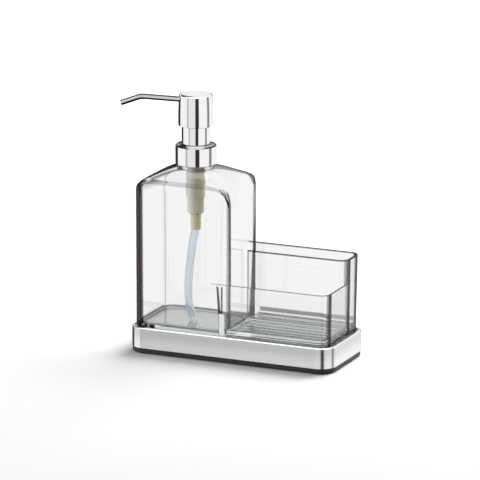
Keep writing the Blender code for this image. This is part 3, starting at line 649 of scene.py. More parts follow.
def milky():
    """Natural polypropylene: waxy, a little yellow, tan and a little lighter on its lower part; painted side light
    makes its left side lighter and grey, its right side darker and olive.
    """
    made, t = material("plastic_milky")
    broad = t.noise(70, (1, 1, 0.6), 3.0, 0.5)
    fine = t.noise(1500, (1, 1, 1), 2.0, 0.5)
    where = t.node("ShaderNodeTexCoord").outputs["Object"]
    place = t.node("ShaderNodeSeparateXYZ")
    t.feed(place.inputs[0], where)
    low = t.ramp(place.outputs["Z"], 0.150, 0.128)
    aside = t.math("SUBTRACT", t.math("MULTIPLY", place.outputs["X"], 1000.0), X_SHIFT + AXIS_X)
    # Painted side light: the left of the axis is painted lighter and grey, the right darker and olive.
    painted_side_light = t.ramp(t.math("ADD", aside, t.math("MULTIPLY", broad, 2.0)), -2.0, 4.5)
    upper = t.mix(broad, t.mix(painted_side_light, (0.60, 0.63, 0.58), (0.40, 0.36, 0.23)), t.mix(painted_side_light, (0.68, 0.70, 0.64), (0.48, 0.44, 0.30)))
    lower = t.mix(broad, t.mix(painted_side_light, (0.70, 0.65, 0.45), (0.52, 0.44, 0.23)), t.mix(painted_side_light, (0.76, 0.71, 0.52), (0.60, 0.51, 0.29)))
    shader = t.principled(
        Base_Color=t.mix(low, upper, lower),
        Roughness=t.ramp(fine, 0.25, 0.75, 0.3, 0.42, False),
        Subsurface_Weight=0.25,
        Subsurface_Radius=(0.004, 0.003, 0.002),
        Subsurface_Scale=0.5,
        Normal=t.bump(fine, 0.12, 0.00004),
    )
    t.finish(shader)
    return made


def tube_plastic():
    """Soft see-through tubing with a cold tint, its edges painted a darker blue where they turn away, as painted dark
    reflections.
    """
    made, t = material("plastic_tube")
    broad = t.noise(120, (1, 1, 0.3), 3.0, 0.5)
    fine = t.noise(1300, (1, 1, 0.4), 2.0, 0.5)
    shader = t.principled(
        # Painted dark reflections: where the tube turns away, its colour is painted a darker blue.
        Base_Color=t.mix(
            t.ramp(t.node("ShaderNodeLayerWeight").outputs["Facing"], 0.4, 0.85),
            t.mix(broad, (0.88, 0.93, 0.99), (0.94, 0.97, 1.0)),
            (0.38, 0.46, 0.60),
        ),
        Roughness=t.ramp(fine, 0.25, 0.75, 0.12, 0.22, False),
        IOR=1.45,
        Transmission_Weight=0.9,
        Normal=t.bump(fine, 0.1, 0.00004),
    )
    through = t.node("ShaderNodeBsdfTransparent")
    through.inputs["Color"].default_value = (0.75, 0.78, 0.82, 1)
    chosen = t.node("ShaderNodeMixShader")
    t.feed(chosen.inputs[0], t.node("ShaderNodeLightPath").outputs["Is Shadow Ray"])
    t.tree.links.new(shader, chosen.inputs[1])
    t.tree.links.new(through.outputs[0], chosen.inputs[2])
    t.finish(chosen.outputs[0])
    return made


STEEL = brushed_steel()
CHROME = chrome("chrome_plate")
COLLAR_CHROME = chrome("chrome_collar_plate", painted_reflections=collar_painted_reflections)
SPOUT_CHROME = chrome("chrome_spout_plate", painted_reflections=spout_painted_reflections)
BLACK = moulded("plastic_black", (0.010, 0.010, 0.011), (0.022, 0.022, 0.024), 0.42)
RUBBER = moulded("rubber_black", (0.008, 0.008, 0.008), (0.016, 0.016, 0.016), 0.75, 900, 0.5)
WHITE = moulded("plastic_white", (0.70, 0.69, 0.64), (0.80, 0.80, 0.77), 0.38, Subsurface_Weight=0.1)
SEAL = moulded("seal_grey", (0.16, 0.16, 0.17), (0.25, 0.25, 0.26), 0.6, 700, 0.4)
SPRING = chrome("steel_spring", 0.2)
# The edge colours and depths below are painted dark reflections.
BOTTLE = clear("plastic_clear_bottle", (0.90, 0.95, 0.94), 4.0, (0.10, 0.07, 0.08), 0.92, local=bottle_painted_edges, calm=((-18.0, -22.0),))
CADDY = clear(
    "plastic_clear_caddy", (0.90, 0.96, 0.94), 4.0, (0.10, 0.085, 0.09), 0.9,
    painted_rim_lines=((0.0780, 0.0800, 0.5), (0.1024, 0.1050, 0.9)), local=caddy_painted_edges, calm=((84.0, 22.0),),
)
PUMP = milky()
TUBE = tube_plastic()

for names, finish in (
    (("base_plate",), BLACK),
    (("foot_front_left", "foot_front_right", "foot_rear_left", "foot_rear_right"), RUBBER),
    (("guide_ring", "threaded_closure", "nozzle_core", "piston_stem"), WHITE),
    (("neck_gasket", "piston_seal"), SEAL),
    (("return_spring", "outlet_ball", "inlet_ball"), SPRING),
):
    for name in names:
        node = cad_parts[name]
        if not node.material_slots:
            node.data.materials.append(finish)
        for material_slot in node.material_slots:
            material_slot.material = finish


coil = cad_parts["return_spring"]
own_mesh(coil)


def dress(obj, finish, slot, body, *nodes):
    """Gives a new piece its finish, its body and the CAD nodes that it stands for."""
    obj.data.materials.clear()
    obj.data.materials.append(finish)
    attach(obj, body)
    if nodes:
        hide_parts(*nodes)
    return obj


# ---------------------------------------------------------------- tray
def tray_outline(inset):
    r = max(TRAY_CORNER - inset, 1.0)
    hx, hy = TRAY_LENGTH / 2 - inset, TRAY_WIDTH / 2 - inset
    return rounded(-hx, hx, -hy, hy, r, 24)


def tray_shell():
    outer = [(0.0, SKIRT_BOTTOM + 0.25), (0.0, RIM_TOP - RIM_ROUND - 6), (0.0, RIM_TOP - RIM_ROUND)]
    outer += arc(RIM_ROUND, RIM_TOP - RIM_ROUND, RIM_ROUND, 180, 90, 12)[1:]
    outer += [(RIM_WIDTH - 0.45, RIM_TOP), (RIM_WIDTH - 0.15, RIM_TOP - 0.08), (RIM_WIDTH, RIM_TOP - 0.3)]
    outer += [(RIM_WIDTH + 0.12, DECK_TOP + 0.5), (RIM_WIDTH + 0.3, DECK_TOP + 0.12), (RIM_WIDTH + 0.65, DECK_TOP), (RIM_WIDTH + 1.4, DECK_TOP)]
    inner = [(SHEET, SKIRT_BOTTOM + 0.25), (SHEET, RIM_TOP - RIM_ROUND)]
    inner += arc(RIM_ROUND, RIM_TOP - RIM_ROUND, RIM_ROUND - SHEET, 180, 90, 6)[1:]
    inner += [(RIM_WIDTH - 0.3, RIM_TOP - SHEET), (RIM_WIDTH + 0.5, DECK_TOP - SHEET), (RIM_WIDTH + 1.4, DECK_TOP - SHEET)]
    edge = [(0.55, SKIRT_BOTTOM), (0.25, SKIRT_BOTTOM)]
    rows = [ring(tray_outline(x), z) for x, z in list(reversed(inner)) + edge + outer]
    return loft("tray_shell", rows)


dress(tray_shell(), STEEL, "brushed_steel", "tray", "steel_tray")


# ---------------------------------------------------------------- bottle
ARC = 16
SIDES = (0.02, 0.06, 0.12, 0.2, 0.35, 0.5, 0.65, 0.8, 0.88, 0.94, 0.98)


def bottle_outline(inset, radius=None):
    r = BOTTLE_CORNER - inset if radius is None else radius
    corners = rounded(
        BOTTLE_LEFT + inset,
        BOTTLE_RIGHT - inset,
        -BOTTLE_HALF_DEPTH + inset,
        BOTTLE_HALF_DEPTH - inset,
        max(r, 1.0),
        ARC,
    )
    points = []
    for k in range(4):
        turn = corners[k * (ARC + 1) : (k + 1) * (ARC + 1)]
        start, end = turn[-1], corners[(k + 1) * (ARC + 1) % len(corners)]
        points += turn
        points += [(start[0] + (end[0] - start[0]) * w, start[1] + (end[1] - start[1]) * w) for w in SIDES]
    return points


def neck_outline(r):
    count = 4 * (ARC + 1 + len(SIDES))
    turns = [225 + 360 * (i - ARC / 2) / count for i in range(count)]
    return [(AXIS_X + r * math.cos(math.radians(a)), r * math.sin(math.radians(a))) for a in turns]


def shoulder_height(x, y):
    from_end = max(min(x - BOTTLE_LEFT, BOTTLE_RIGHT - x), 0.0)
    from_long = max(BOTTLE_HALF_DEPTH - abs(y), 0.0)
    heights = []
    for away, (wall, lift, reach, slope, gain) in ((from_end, OVER_END), (from_long, OVER_LONG)):
        eave = math.sqrt(1 - max(1 - away / reach, 0.0) ** 2)
        heights.append(wall + lift * eave + slope * away + gain * away**2)
    heights.append(NECK_BASE + 1.7)
    soft = 2.5
    lowest = min(heights)
    return lowest - soft * math.log(sum(math.exp(-(h - lowest) / soft) for h in heights))


def shoulder(inset, drop, neck_r):
    wall, foot = bottle_outline(0), neck_outline(neck_r)
    inner = bottle_outline(inset, BOTTLE_CORNER - inset)
    rows = []
    for t in (
        0, 0.0012, 0.0037, 0.0075, 0.0145, 0.023, 0.032, 0.043, 0.057, 0.072, 0.087, 0.105, 0.13, 0.16,
        0.2, 0.24, 0.28, 0.33, 0.38, 0.43, 0.5, 0.58, 0.66, 0.74, 0.82, 0.89, 0.95, 1.0,
    ):
        row = []
        for p, q, w in zip(inner, foot, wall):
            at = (p[0] + (q[0] - p[0]) * t, p[1] + (q[1] - p[1]) * t)
            over = (w[0] + (q[0] - w[0]) * t, w[1] + (q[1] - w[1]) * t)
            row.append((*at, shoulder_height(*over) - drop))
        rows.append(row)
    return rows


def bottle_body():
    rows = []
    for inset, z in ((2.6, 0.0), (1.7, 0.16), (1.0, 0.5), (0.45, 1.05), (0.12, 1.9), (0.0, 3.0), (0.0, 8.0)):
        rows.append(ring(bottle_outline(inset), STAND_Z + z))
    rows += shoulder(0, 0, NECK_OUTER + 2.2)
    for r, z in ((1.3, 0.05), (0.6, 0.35), (0.2, 0.8), (0.0, 1.4)):
        rows.append(ring(neck_outline(NECK_OUTER + r), NECK_BASE + z))
    rows.append(ring(neck_outline(NECK_OUTER), NECK_TOP - 0.5))
    rows.append(ring(neck_outline(NECK_OUTER - 0.15), NECK_TOP - 0.12))
    rows.append(ring(neck_outline(NECK_OUTER - 0.5), NECK_TOP))
    rows.append(ring(neck_outline(NECK_INNER + 0.3), NECK_TOP))
    rows.append(ring(neck_outline(NECK_INNER), NECK_TOP - 0.3))
    rows.append(ring(neck_outline(NECK_INNER), NECK_BASE - 0.6))
    rows.append(ring(neck_outline(NECK_INNER + 0.3), NECK_BASE - 1.6))
    rows += reversed(shoulder(BOTTLE_WALL, BOTTLE_WALL * 1.1, NECK_INNER + 1.6))
    floor = STAND_Z + BOTTLE_FLOOR
    for inset, z in ((0.0, 9.0), (0.0, 5.0), (0.25, 3.3), (0.8, 1.9), (1.7, 0.85), (3.0, 0.22), (5.0, 0.0)):
        rows.append(ring(bottle_outline(BOTTLE_WALL + inset, 8.0), floor + z))
    return loft("bottle_body", rows, sharp=50)


dress(bottle_body(), BOTTLE, "clear_plastic", "bottle", "soap_bottle")


# ---------------------------------------------------------------- caddy
def draft(z):
    if z <= CADDY_LOW:
        return 1.2 - 0.8 * (z - STAND_Z - 0.9) / (CADDY_LOW - STAND_Z - 0.9)
    return 0.4 * (CADDY_TALL - z) / (CADDY_TALL - CADDY_LOW)


def rim_offset(z, top, r=0.55):
    """How far a wall's face has rounded in near its rim."""
    return r - math.sqrt(max(r * r - max(z - (top - r), 0.0) ** 2, 0.0))


def foot_offset(z, r=3.6):
    """The fillet where a wall stands on the caddy's floor."""
    h = min(max(z - CADDY_FLOOR, 0.0), r)
    return r - math.sqrt(max(r * r - (r - h) ** 2, 0.0))


def ear_end(z, top, tip):
    """Where an ear ends: it leans away from the bottle towards its foot, and runs out in a thin lip at its rim."""
    lean = CADDY_EAR_END + CADDY_EAR_LEAN * (CADDY_TALL - z) / (CADDY_TALL - STAND_Z)
    share = max(1 - (top - z) / 2.3, 0.0)
    return lean + (tip - lean) * share**0.8, share


def caddy_loop(z):
    """The caddy's cut at a height, as named runs of (x, y), each anticlockwise along the material's edge."""
    grow = foot_offset(z)
    d, low_rim, tall_rim = draft(z), rim_offset(z, CADDY_LOW), rim_offset(z, CADDY_TALL)
    if z > CADDY_LOW:
        low_rim = 0.0
    r_out, r_in = CADDY_CORNER, CADDY_CORNER - CADDY_WALL
    xo, yo = CADDY_RIGHT - d, CADDY_HALF_DEPTH - d
    xi, yi = CADDY_RIGHT - CADDY_WALL - d - grow, CADDY_HALF_DEPTH - CADDY_WALL - d - grow
    ear_in = BOTTLE_HALF_DEPTH + 0.4

    runs = {}
    # Front: outside from the front ear's end to the right side.
    fo, fi = yo - low_rim, yi + low_rim
    xf, share = ear_end(min(z, CADDY_LOW), CADDY_LOW, -20.5)
    thick = (fo - ear_in - low_rim) * (1 - share) + 0.4 * share
    runs["front_out"] = (
        [(xf, -fo), (-11.0, -fo)]
        + arc(xo - low_rim - r_out, -fo + r_out, r_out, 270, 360, 16)
        + [(xo - low_rim, 5.0), (xo - low_rim, 12.0)]
    )
    # Shared: outside from behind the step round the back to the rear ear's end.
    xt, yt = xo - tall_rim, yo - tall_rim
    runs["back_out"] = [(xt, DIVIDER_FRONT + r_out)] + arc(xt - r_out, yt - r_out, r_out, 0, 90, 16) + [(-11.0, yt)]
    xr, share_r = ear_end(z, CADDY_TALL, -18.2)
    runs["back_out"].append((xr, yt))
    ear_rear = (yt - ear_in - tall_rim) * (1 - share_r) + 0.4 * share_r
    runs["rear_ear_in"] = [(xr, yt - ear_rear), (-11.0, ear_in + tall_rim), (CADDY_FLOOR_LEFT, ear_in + tall_rim)]
    # Inside of the rear room, clockwise seen from above.
    xq, yq = xi + tall_rim, yi + tall_rim
    back = DIVIDER_FRONT + CADDY_WALL + grow - tall_rim
    r_room = r_in - grow + tall_rim
    runs["rear_room"] = (
        [(CADDY_FLOOR_LEFT + 2.6, yq)]
        + arc(xq - r_room, yq - r_room, r_room, 90, 0, 16)
        + arc(xq - r_room, back + r_room, r_room, 0, -90, 16)
    )
    end = DIVIDER_LEFT - min(grow, 1.3) + tall_rim
    front = DIVIDER_FRONT - grow + tall_rim
    runs["divider_end"] = [
        (end + 0.5, back),
        (end + 0.15, back - 0.15),
        (end, back - 0.5),
        (end, front + 0.5),
        (end + 0.15, front + 0.15),
        (end + 0.5, front),
    ]
    # Divider's front face and as much of its rounded end as stands clear of the right wall.
    r_face = r_out + grow
    cx, cy = xt - r_out, DIVIDER_FRONT + r_out
    meet = -math.degrees(math.acos(min(max((xi + low_rim - cx) / r_face, -1), 1)))
    if z <= CADDY_LOW:
        runs["divider_face"] = arc(cx, cy, r_face, -90, meet, 10)
    else:
        runs["divider_face"] = arc(cx, cy + tall_rim, CADDY_CORNER, -90, TURN_FROM, 10)
        runs["divider_turn"] = arc(cx, cy + tall_rim, CADDY_CORNER, TURN_FROM, 0, 8)[1:-1]
    # Inside of the front room.
    xw, yw = xi + low_rim, yi + low_rim
    runs["front_room"] = (
        [(xw, 1.5)]
        + arc(xw - r_room, -yw + r_room, r_room, 0, -90, 16)
        + [(CADDY_FLOOR_LEFT + 2.6, -yw)]
    )
    runs["front_ear_in"] = [(CADDY_FLOOR_LEFT, -ear_in - low_rim), (-11.0, -ear_in - low_rim), (xf, -fo + thick)]
    return runs, meet


TURN_FROM = caddy_loop(CADDY_LOW)[1]  # where the divider's rounded end leaves the low right wall


def caddy_mesh():
    bm = bmesh.new()
    shared = ("back_out", "rear_ear_in", "rear_room", "divider_end", "divider_face")
    low_order = ("front_out",) + shared + ("front_room", "front_ear_in")

    def layer(z, names):
        runs, _ = caddy_loop(z)
        return {name: [vert(bm, x, y, z) for x, y in runs[name]] for name in names}

    def flat(rows, names):
        return [v for name in names for v in rows[name]]

    # The slab below the floor: the outside and the ears, closed along the floor's left edge.
    slab_names = ("front_out", "back_out", "rear_ear_in", "front_ear_in")

    def slab(z, more):
        runs, _ = caddy_loop(max(z, STAND_Z + 0.9))
        rows = {}
        for name in slab_names:
            row = []
            for x, y in runs[name]:
                outside = name in ("front_out", "back_out")
                nx = x - more if x > 60 and outside else x
                ny = y - math.copysign(more, y) if abs(y) > 30 and outside else y
                row.append(vert(bm, nx, ny, z))
            rows[name] = row
        return rows

    slabs = [slab(STAND_Z, 0.8), slab(STAND_Z + 0.12, 0.45), slab(STAND_Z + 0.4, 0.15), slab(STAND_Z + 0.9, 0.0)]
    lows = []
    heights = [CADDY_FLOOR + h for h in (0.0, 0.05, 0.2, 0.45, 0.8, 1.25, 1.8, 2.4, 3.0, 3.6)] + [44.0, 55.0, 70.0, 77.0, 77.6, 78.2, 78.6, 78.95, 79.1, 79.25, 79.36, 79.44, 79.5]
    for z in heights:
        lows.append(layer(z, low_order))
    order = slab_names[:2] + slab_names[2:]
    bottom = flat(slabs[0], order)
    bm.faces.new(list(reversed(bottom)))
    for a, b in zip(slabs, slabs[1:] + [lows[0]]):
        strip(bm, flat(a, order), flat({n: b[n] for n in order}, order))
    for a, b in zip(lows, lows[1:]):
        strip(bm, flat(a, low_order), flat(b, low_order))
    # Floor.
    first = lows[0]
    bm.faces.new([first["rear_ear_in"][-1]] + flat(first, ("rear_room", "divider_end", "divider_face", "front_room")) + [first["front_ear_in"][0]])
    # Low rim's top, and the tall part above it.
    top = lows[-1]
    turn_points = arc(CADDY_RIGHT - draft(CADDY_LOW) - CADDY_CORNER, DIVIDER_FRONT + CADDY_CORNER, CADDY_CORNER, TURN_FROM, 0, 8)[1:-1]
    turn = [vert(bm, x, y, CADDY_LOW) for x, y in turn_points]
    rim = top["front_room"] + top["front_ear_in"] + top["front_out"] + [top["back_out"][0]] + list(reversed(turn)) + [top["divider_face"][-1]]
    bm.faces.new(rim)
    tall_order = ("back_out", "rear_ear_in", "rear_room", "divider_end", "divider_face", "divider_turn")
    talls = []
    for z in (85.0, 92.0, 99.0, 101.5, 102.1, 102.7, 103.1, 103.45, 103.6, 103.75, 103.86, 103.94, CADDY_TALL):
        talls.append(layer(z, tall_order))
    first_tall = {n: top[n] for n in shared}
    first_tall["divider_turn"] = turn
    for a, b in zip([first_tall] + talls, talls):
        strip(bm, flat(a, tall_order), flat(b, tall_order))
    bm.faces.new(flat(talls[-1], tall_order))
    return new_object("caddy_body", bm, 45)


def rib(name, y):
    rows = []
    for grow, z in ((0.0, CADDY_FLOOR - 1.2), (0.0, CADDY_FLOOR + 0.1), (0.12, CADDY_FLOOR + 0.8), (0.45, RIB_TOP - 0.55), (0.85, RIB_TOP - 0.18), (1.35, RIB_TOP)):
        rows.append(ring(rounded(4.0 + grow, 99.0 - grow, y - 2.2 + grow, y + 2.2 - grow, 2.1 - grow, 8), z))
    return loft(name, rows)


def caddy_body():
    body = caddy_mesh()
    ribs = [rib(f"rib_{n}", y) for n, y in enumerate((-34.5, -25.5, -16.5, -7.5, 1.5, 14.5, 23.5, 32.5))]
    for one in ribs:
        one.modifiers.clear()
        join = body.modifiers.new("Rib", "BOOLEAN")
        join.operation, join.solver, join.object = "UNION", "EXACT", one
    body.modifiers.move(0, len(body.modifiers) - 1)
    bpy.context.view_layer.update()
    apply_modifiers(body)
    for one in ribs:
        bpy.data.objects.remove(one, do_unlink=True)
    return body


dress(caddy_body(), CADDY, "clear_plastic", "caddy", "caddy")


# ---------------------------------------------------------------- pump
def collar_shell():
    r, top = COLLAR_R, COLLAR_TOP
    outer = [(SLEEVE_R + 0.3, top - 0.2), (SLEEVE_R + 0.5, top), (SLEEVE_R + 0.9, top - 0.1)]
    outer += [(r - 2.6 + 2.9 * math.sin(math.radians(a)), top - 3.9 + 2.9 * math.cos(math.radians(a))) for a in range(24, 76, 6)]
    outer = [(min(x, r), z) for x, z in outer]
    outer += [(r - 0.06, top - 3.9 + 0.1), (r, top - 4.4)]
    outer += [(r, COLLAR_BOTTOM + 0.6), (r - 0.1, COLLAR_BOTTOM + 0.2), (r - 0.35, COLLAR_BOTTOM), (r - 0.9, COLLAR_BOTTOM)]
    inner = [(r - 0.6, top - 4.4), (r - 1.0, top - 3.2), (r - 2.6, top - 1.95), (SLEEVE_R + 0.3, top - 0.95)]
    return turned("collar_shell", outer + inner)


def sleeve_shell():
    r = SLEEVE_R
    profile = [
        (r - 0.25, SLEEVE_TOP), (r, SLEEVE_TOP - 0.25), (r, SLEEVE_FOOT + 1.6), (r + 0.2, SLEEVE_FOOT + 1.15),
        (r + 0.6, SLEEVE_FOOT + 0.95), (16.2, SLEEVE_FOOT + 0.9), (16.2, SLEEVE_FOOT), (r - 0.9, SLEEVE_FOOT),
        (r - 0.9, SLEEVE_TOP),
    ]
    return turned("sleeve_shell", profile)


def head_shell():
    r, top = HEAD_R, HEAD_TOP

    def side(z):
        """The side's radius: it draws in a little towards the top."""
        return r - 0.95 * max((z - HEAD_BOTTOM - 6) / (top - HEAD_BOTTOM - 6), 0) ** 2.2

    crown, width, drop = side(top - 2.6), 3.2, 2.6
    profile = [(0, top), (r - 8.0, top), (crown - width - 0.4, top)]
    profile += [
        (crown - width + width * math.sin(math.radians(a)), top - drop + drop * math.cos(math.radians(a)))
        for a in range(6, 91, 7)
    ]
    profile += [(side(z), z) for z in (top - 4, top - 6, top - 8.5, top - 11.5, top - 15, top - 19, top - 24)]
    profile += [
        (r, HEAD_BOTTOM + 0.55), (r - 0.15, HEAD_BOTTOM + 0.15), (r - 0.5, HEAD_BOTTOM), (SLEEVE_R + 0.4, HEAD_BOTTOM),
        (SLEEVE_R + 0.4, HEAD_BOTTOM + 1.6), (16.7, HEAD_BOTTOM + 1.6), (16.68, top - 4.5), (16.55, top - 3.2), (15.0, top - 1.3), (0, top - 1.2),
    ]
    head = turned("head_shell", profile)
    # The hole that the spout comes out of.
    hole = pipe_cutter("hole", [point_on_nozzle(6.7), point_on_nozzle(30.0)], NOZZLE_R + 0.3)
    cut = head.modifiers.new("Hole", "BOOLEAN")
    cut.operation, cut.solver, cut.object = "DIFFERENCE", "EXACT", hole
    head.modifiers.move(len(head.modifiers) - 1, 0)
    bpy.context.view_layer.update()
    apply_modifiers(head)
    bpy.data.objects.remove(hole, do_unlink=True)
    return head


def point_on_nozzle(distance):
    droop, drop = math.radians(NOZZLE_DROOP), math.radians(NOZZLE_DROP)
    straight = min(distance, NOZZLE_BEND)
    x = AXIS_X - straight * math.cos(droop)
    z = NOZZLE_Z - (straight - HEAD_R) * math.sin(droop)
    beyond = distance - straight
    return Vector((x - beyond * math.cos(drop), 0, z - beyond * math.sin(drop)))


def pipe_cutter(name, ends, radius, sides=48):
    a, b = ends
    along = (b - a).normalized()
    side, up = Vector((0, 1, 0)), along.cross(Vector((0, 1, 0)))
    bm = bmesh.new()
    rows = []
    for p in (a, b):
        rows.append([
            vert(bm, *(p + side * (radius * math.cos(2 * math.pi * k / sides)) + up * (radius * math.sin(2 * math.pi * k / sides))))
            for k in range(sides)
        ])
    strip(bm, rows[0], rows[1])
    bm.faces.new(list(reversed(rows[0])))
    bm.faces.new(rows[1])
    return new_object(name, bm, weighted=False)


def spout():
    """The spout's centre line, with its bend eased over a few millimetres."""
    marks = [7.0 + (NOZZLE_REACH - 7.0) * i / 60 for i in range(61)]
    points = []
    for s in marks:
        reach = min(5.5, NOZZLE_REACH - s, s - 7.0)
        window = [point_on_nozzle(s + reach * (k / 6 - 1)) for k in range(13)]
        weights = [1 - abs(k / 6 - 1) + 0.05 for k in range(13)]
        points.append(sum((w * p for w, p in zip(weights, window)), Vector()) / sum(weights))
    return pipe("spout", points, NOZZLE_R, NOZZLE_BORE, 48)


def housing_body():
    up, mid, low = 9.7, 8.4, 5.35
    profile = [
        (16.4, FLANGE_TOP), (16.7, FLANGE_TOP - 0.3), (16.7, NECK_TOP + 1.9), (16.5, NECK_TOP + 1.7),
        (up + 0.6, NECK_TOP + 1.7), (up + 0.15, NECK_TOP + 1.5), (up, NECK_TOP + 1.0),
        (up, STEP_A + 1.0), (up - 0.12, STEP_A + 0.4), (up - 0.4, STEP_A + 0.08), (up - 0.7, STEP_A),
        (mid + 0.2, STEP_A), (mid, STEP_A - 0.25), (mid, STEP_B + 1.1), (mid - 0.15, STEP_B + 0.5), (mid - 0.6, STEP_B),
        (low + 0.9, STEP_B - 1.0), (low + 0.25, STEP_B - 1.5), (low, STEP_B - 2.3),
        (low, 131.2), (low + 0.35, 130.8), (low + 0.35, 129.6), (low, 129.2),
        (low, HOUSE_END + 0.4), (low - 0.15, HOUSE_END + 0.1), (low - 0.4, HOUSE_END),
        (TUBE_R + 0.25, HOUSE_END), (TUBE_R + 0.25, 130.0), (2.3, 130.0), (2.3, 133.0), (3.9, 134.4), (3.9, 141.0),
        (6.2, 142.0), (6.2, STEP_A + 1.2), (8.3, STEP_A + 1.2), (8.3, FLANGE_TOP),
    ]
    return turned("housing_body", profile)


TUBE_TOP, TUBE_END = 129.6, 30.5
GUIDES = (
    (121.5, -0.2), (113.0, -2.4), (103.4, -3.9), (87.1, -6.1), (71.0, -7.7), (58.0, -8.2),
    (46.0, -7.4), (39.0, -5.9), (34.0, -4.1), (TUBE_END, -2.6),
)


def dip_tube():
    points = [Vector((AXIS_X, 0, TUBE_TOP)), Vector((AXIS_X, 0, 125.6))]
    points += [Vector((AXIS_X + b, 0, z)) for z, b in GUIDES]
    return pipe("suction_tube", smooth_path(points, 10), TUBE_R, TUBE_BORE, 36)


dress(collar_shell(), COLLAR_CHROME, "polished_chrome", "closure", "chrome_collar")
dress(sleeve_shell(), CHROME, "polished_chrome", "pump", "stem_sleeve")
dress(head_shell(), CHROME, "polished_chrome", "head", "pump_head")
dress(spout(), SPOUT_CHROME, "polished_chrome", "head", "nozzle_tube")
dress(housing_body(), PUMP, "milky_plastic", "pump", "pump_housing")
dress(dip_tube(), TUBE, "tube_plastic", "pump", "dip_tube")


# ---------------------------------------------------------------- camera
back = Vector((math.sin(AZIMUTH) * math.cos(ELEVATION), -math.cos(AZIMUTH) * math.cos(ELEVATION), math.sin(ELEVATION)))
right = Vector((math.cos(AZIMUTH), math.sin(AZIMUTH), 0))
up = back.cross(right)
DISTANCE = 5.173
camera = bpy.data.objects.new("camera", bpy.data.cameras.new("camera"))
scene.collection.objects.link(camera)
camera.data.sensor_width = 36
camera.data.lens = 387.9
camera.data.clip_start, camera.data.clip_end = 0.1, 60
camera.location = back * DISTANCE + Vector((X_SHIFT * MM, 0, 0))
aim = -back * DISTANCE + right * -0.0065 + up * 0.1125
camera.rotation_mode = "QUATERNION"
camera.rotation_quaternion = aim.to_track_quat("-Z", "Y")
scene.camera = camera

# ---------------------------------------------------------------- floor, world and light
floor_mesh = bpy.data.meshes.new("floor")
bm = bmesh.new()
bmesh.ops.create_grid(bm, x_segments=1, y_segments=1, size=40)
bm.to_mesh(floor_mesh)
bm.free()
floor = bpy.data.objects.new("floor", floor_mesh)
scene.collection.objects.link(floor)
floor_finish, t = material("floor_white")
tone = t.noise(3, (1, 1, 1), 2.0, 0.5)
far = t.node("ShaderNodeVectorMath", operation="LENGTH")
t.feed(far.inputs[0], t.node("ShaderNodeNewGeometry").outputs["Position"])
t.finish(t.principled(
    Base_Color=t.mix(tone, (0.80, 0.80, 0.80), (0.82, 0.82, 0.82)), Roughness=1.0, Specular_IOR_Level=0.0,
    Emission_Color=(1, 1, 1, 1), Emission_Strength=t.ramp(far.outputs["Value"], 0.35, 1.6, 0.0, 0.5),
))
floor_mesh.materials.append(floor_finish)
floor.visible_glossy = False
floor.visible_transmission = False


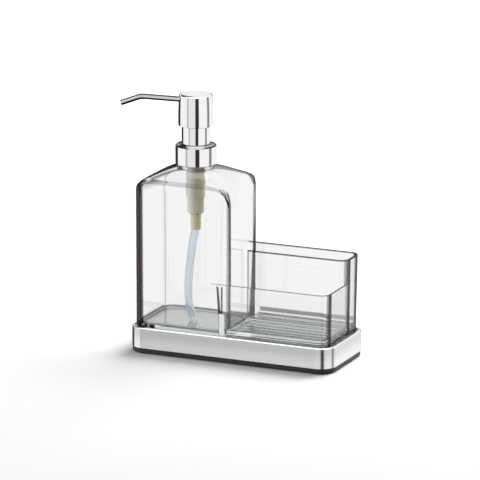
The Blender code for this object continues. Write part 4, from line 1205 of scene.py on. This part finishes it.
def studio():
    """A white studio with dark flags, laid out by direction: what polished and clear surfaces show."""
    world = bpy.data.worlds.new("studio")
    scene.world = world
    t = Tree(world)
    way = t.node("ShaderNodeTexCoord").outputs["Generated"]
    apart = t.node("ShaderNodeSeparateXYZ")
    t.feed(apart.inputs[0], way)
    x, y, z = apart.outputs
    turn = t.math("ARCTAN2", x, t.math("MULTIPLY", y, -1.0))
    around = t.math("WRAP", t.math("SUBTRACT", turn, AZIMUTH), math.pi, -math.pi)
    around = t.math("DEGREES", around)
    height = t.math("DEGREES", t.math("ARCSINE", z))
    level_ground = t.math("SUBTRACT", 1.0, t.ramp(height, 24, 36))
    away = t.math("ABSOLUTE", around)

    def cover(depth, *masks):
        """What a dark flag leaves: 1 outside it, 1 - depth inside."""
        total = masks[0]
        for mask in masks[1:]:
            total = t.math("MULTIPLY", total, mask)
        return t.math("SUBTRACT", 1.0, t.math("MULTIPLY", total, depth))

    def product(*values):
        total = values[0]
        for value in values[1:]:
            total = t.math("MULTIPLY", total, value)
        return total

    shiny = product(
        cover(0.97, t.band(around, -3.5, 20, 2.0), level_ground),
        cover(0.5, t.band(around, -60, -49, 1.5), level_ground),
        cover(0.14, t.band(around, -49, -3, 3.0), level_ground),
        cover(0.75, t.band(around, 79, 98, 2.0), level_ground),
        cover(0.96, t.band(around, -178, -120, 2.0), t.ramp(height, 12, 6)),
        cover(0.55, t.band(around, 156, 176, 3.0), t.ramp(height, 12, 6)),
        cover(0.95, t.band(away, 150, 176, 2.0), t.band(height, -11, 12.5, 1.5)),
        cover(0.9, t.ramp(height, -23, -32)),
        cover(0.93, t.band(around, -173, -108, 4.0), t.band(height, 24, 74, 3.0)),
        cover(0.12, t.ramp(away, 150, 165), t.band(height, 13, 24, 1.0)),
        cover(0.35, t.band(height, 18, 36, 3.0), t.ramp(away, 90, 70)),
    )
    shiny = t.math("ADD", shiny, t.math("MULTIPLY", t.band(height, 42, 80, 6.0), t.ramp(away, 105, 85, 0.0, 1.2)))
    seen = product(
        cover(0.3, t.band(around, -64, -58, 1.5), level_ground),
        cover(0.18, t.band(around, 84, 112, 3.0), level_ground),
        cover(0.18, t.band(around, -168, -112, 4.0), level_ground),
    )
    seen = t.math("MULTIPLY", seen, 0.92)

    path = t.node("ShaderNodeLightPath")
    total = t.math("MULTIPLY", path.outputs["Is Diffuse Ray"], 0.20)
    for value, test in ((shiny, "Is Glossy Ray"), (seen, "Is Transmission Ray"), (1.2, "Is Camera Ray")):
        pick = t.node("ShaderNodeMix", data_type="FLOAT")
        t.feed(pick.inputs["Factor"], path.outputs[test])
        t.feed(pick.inputs[2], total)
        t.feed(pick.inputs[3], value)
        total = pick.outputs[0]
    shade = t.node("ShaderNodeBackground")
    shade.inputs["Color"].default_value = (1, 1, 1, 1)
    t.feed(shade.inputs["Strength"], total)
    out = t.node("ShaderNodeOutputWorld")
    t.tree.links.new(shade.outputs[0], out.inputs["Surface"])
    world.cycles.sampling_method = "NONE"


studio()


def softbox(name, place, size, power):
    data = bpy.data.lights.new(name, "AREA")
    data.shape = "SQUARE"
    data.size = size
    data.energy = power
    lamp = bpy.data.objects.new(name, data)
    scene.collection.objects.link(lamp)
    lamp.location = place
    lamp.rotation_mode = "QUATERNION"
    lamp.rotation_quaternion = (Vector((0, 0, 0.05)) - place).to_track_quat("-Z", "Y")
    lamp.visible_camera = lamp.visible_glossy = lamp.visible_transmission = False
    return lamp


behind = Vector((-math.sin(AZIMUTH), math.cos(AZIMUTH), 0))
softbox("softbox_top", behind * 0.9 + right * 0.9 + Vector((0, 0, 1.3)), 1.5, 64)
softbox("softbox_left", right * -1.3 - behind * 0.3 + Vector((0, 0, 0.5)), 0.7, 9)

scene.view_settings.view_transform = "Standard"
scene.view_settings.look = "None"
scene.cycles.use_denoising = True
scene.cycles.max_bounces = 24
scene.cycles.transmission_bounces = 20
scene.cycles.transparent_max_bounces = 24
scene.cycles.glossy_bounces = 8
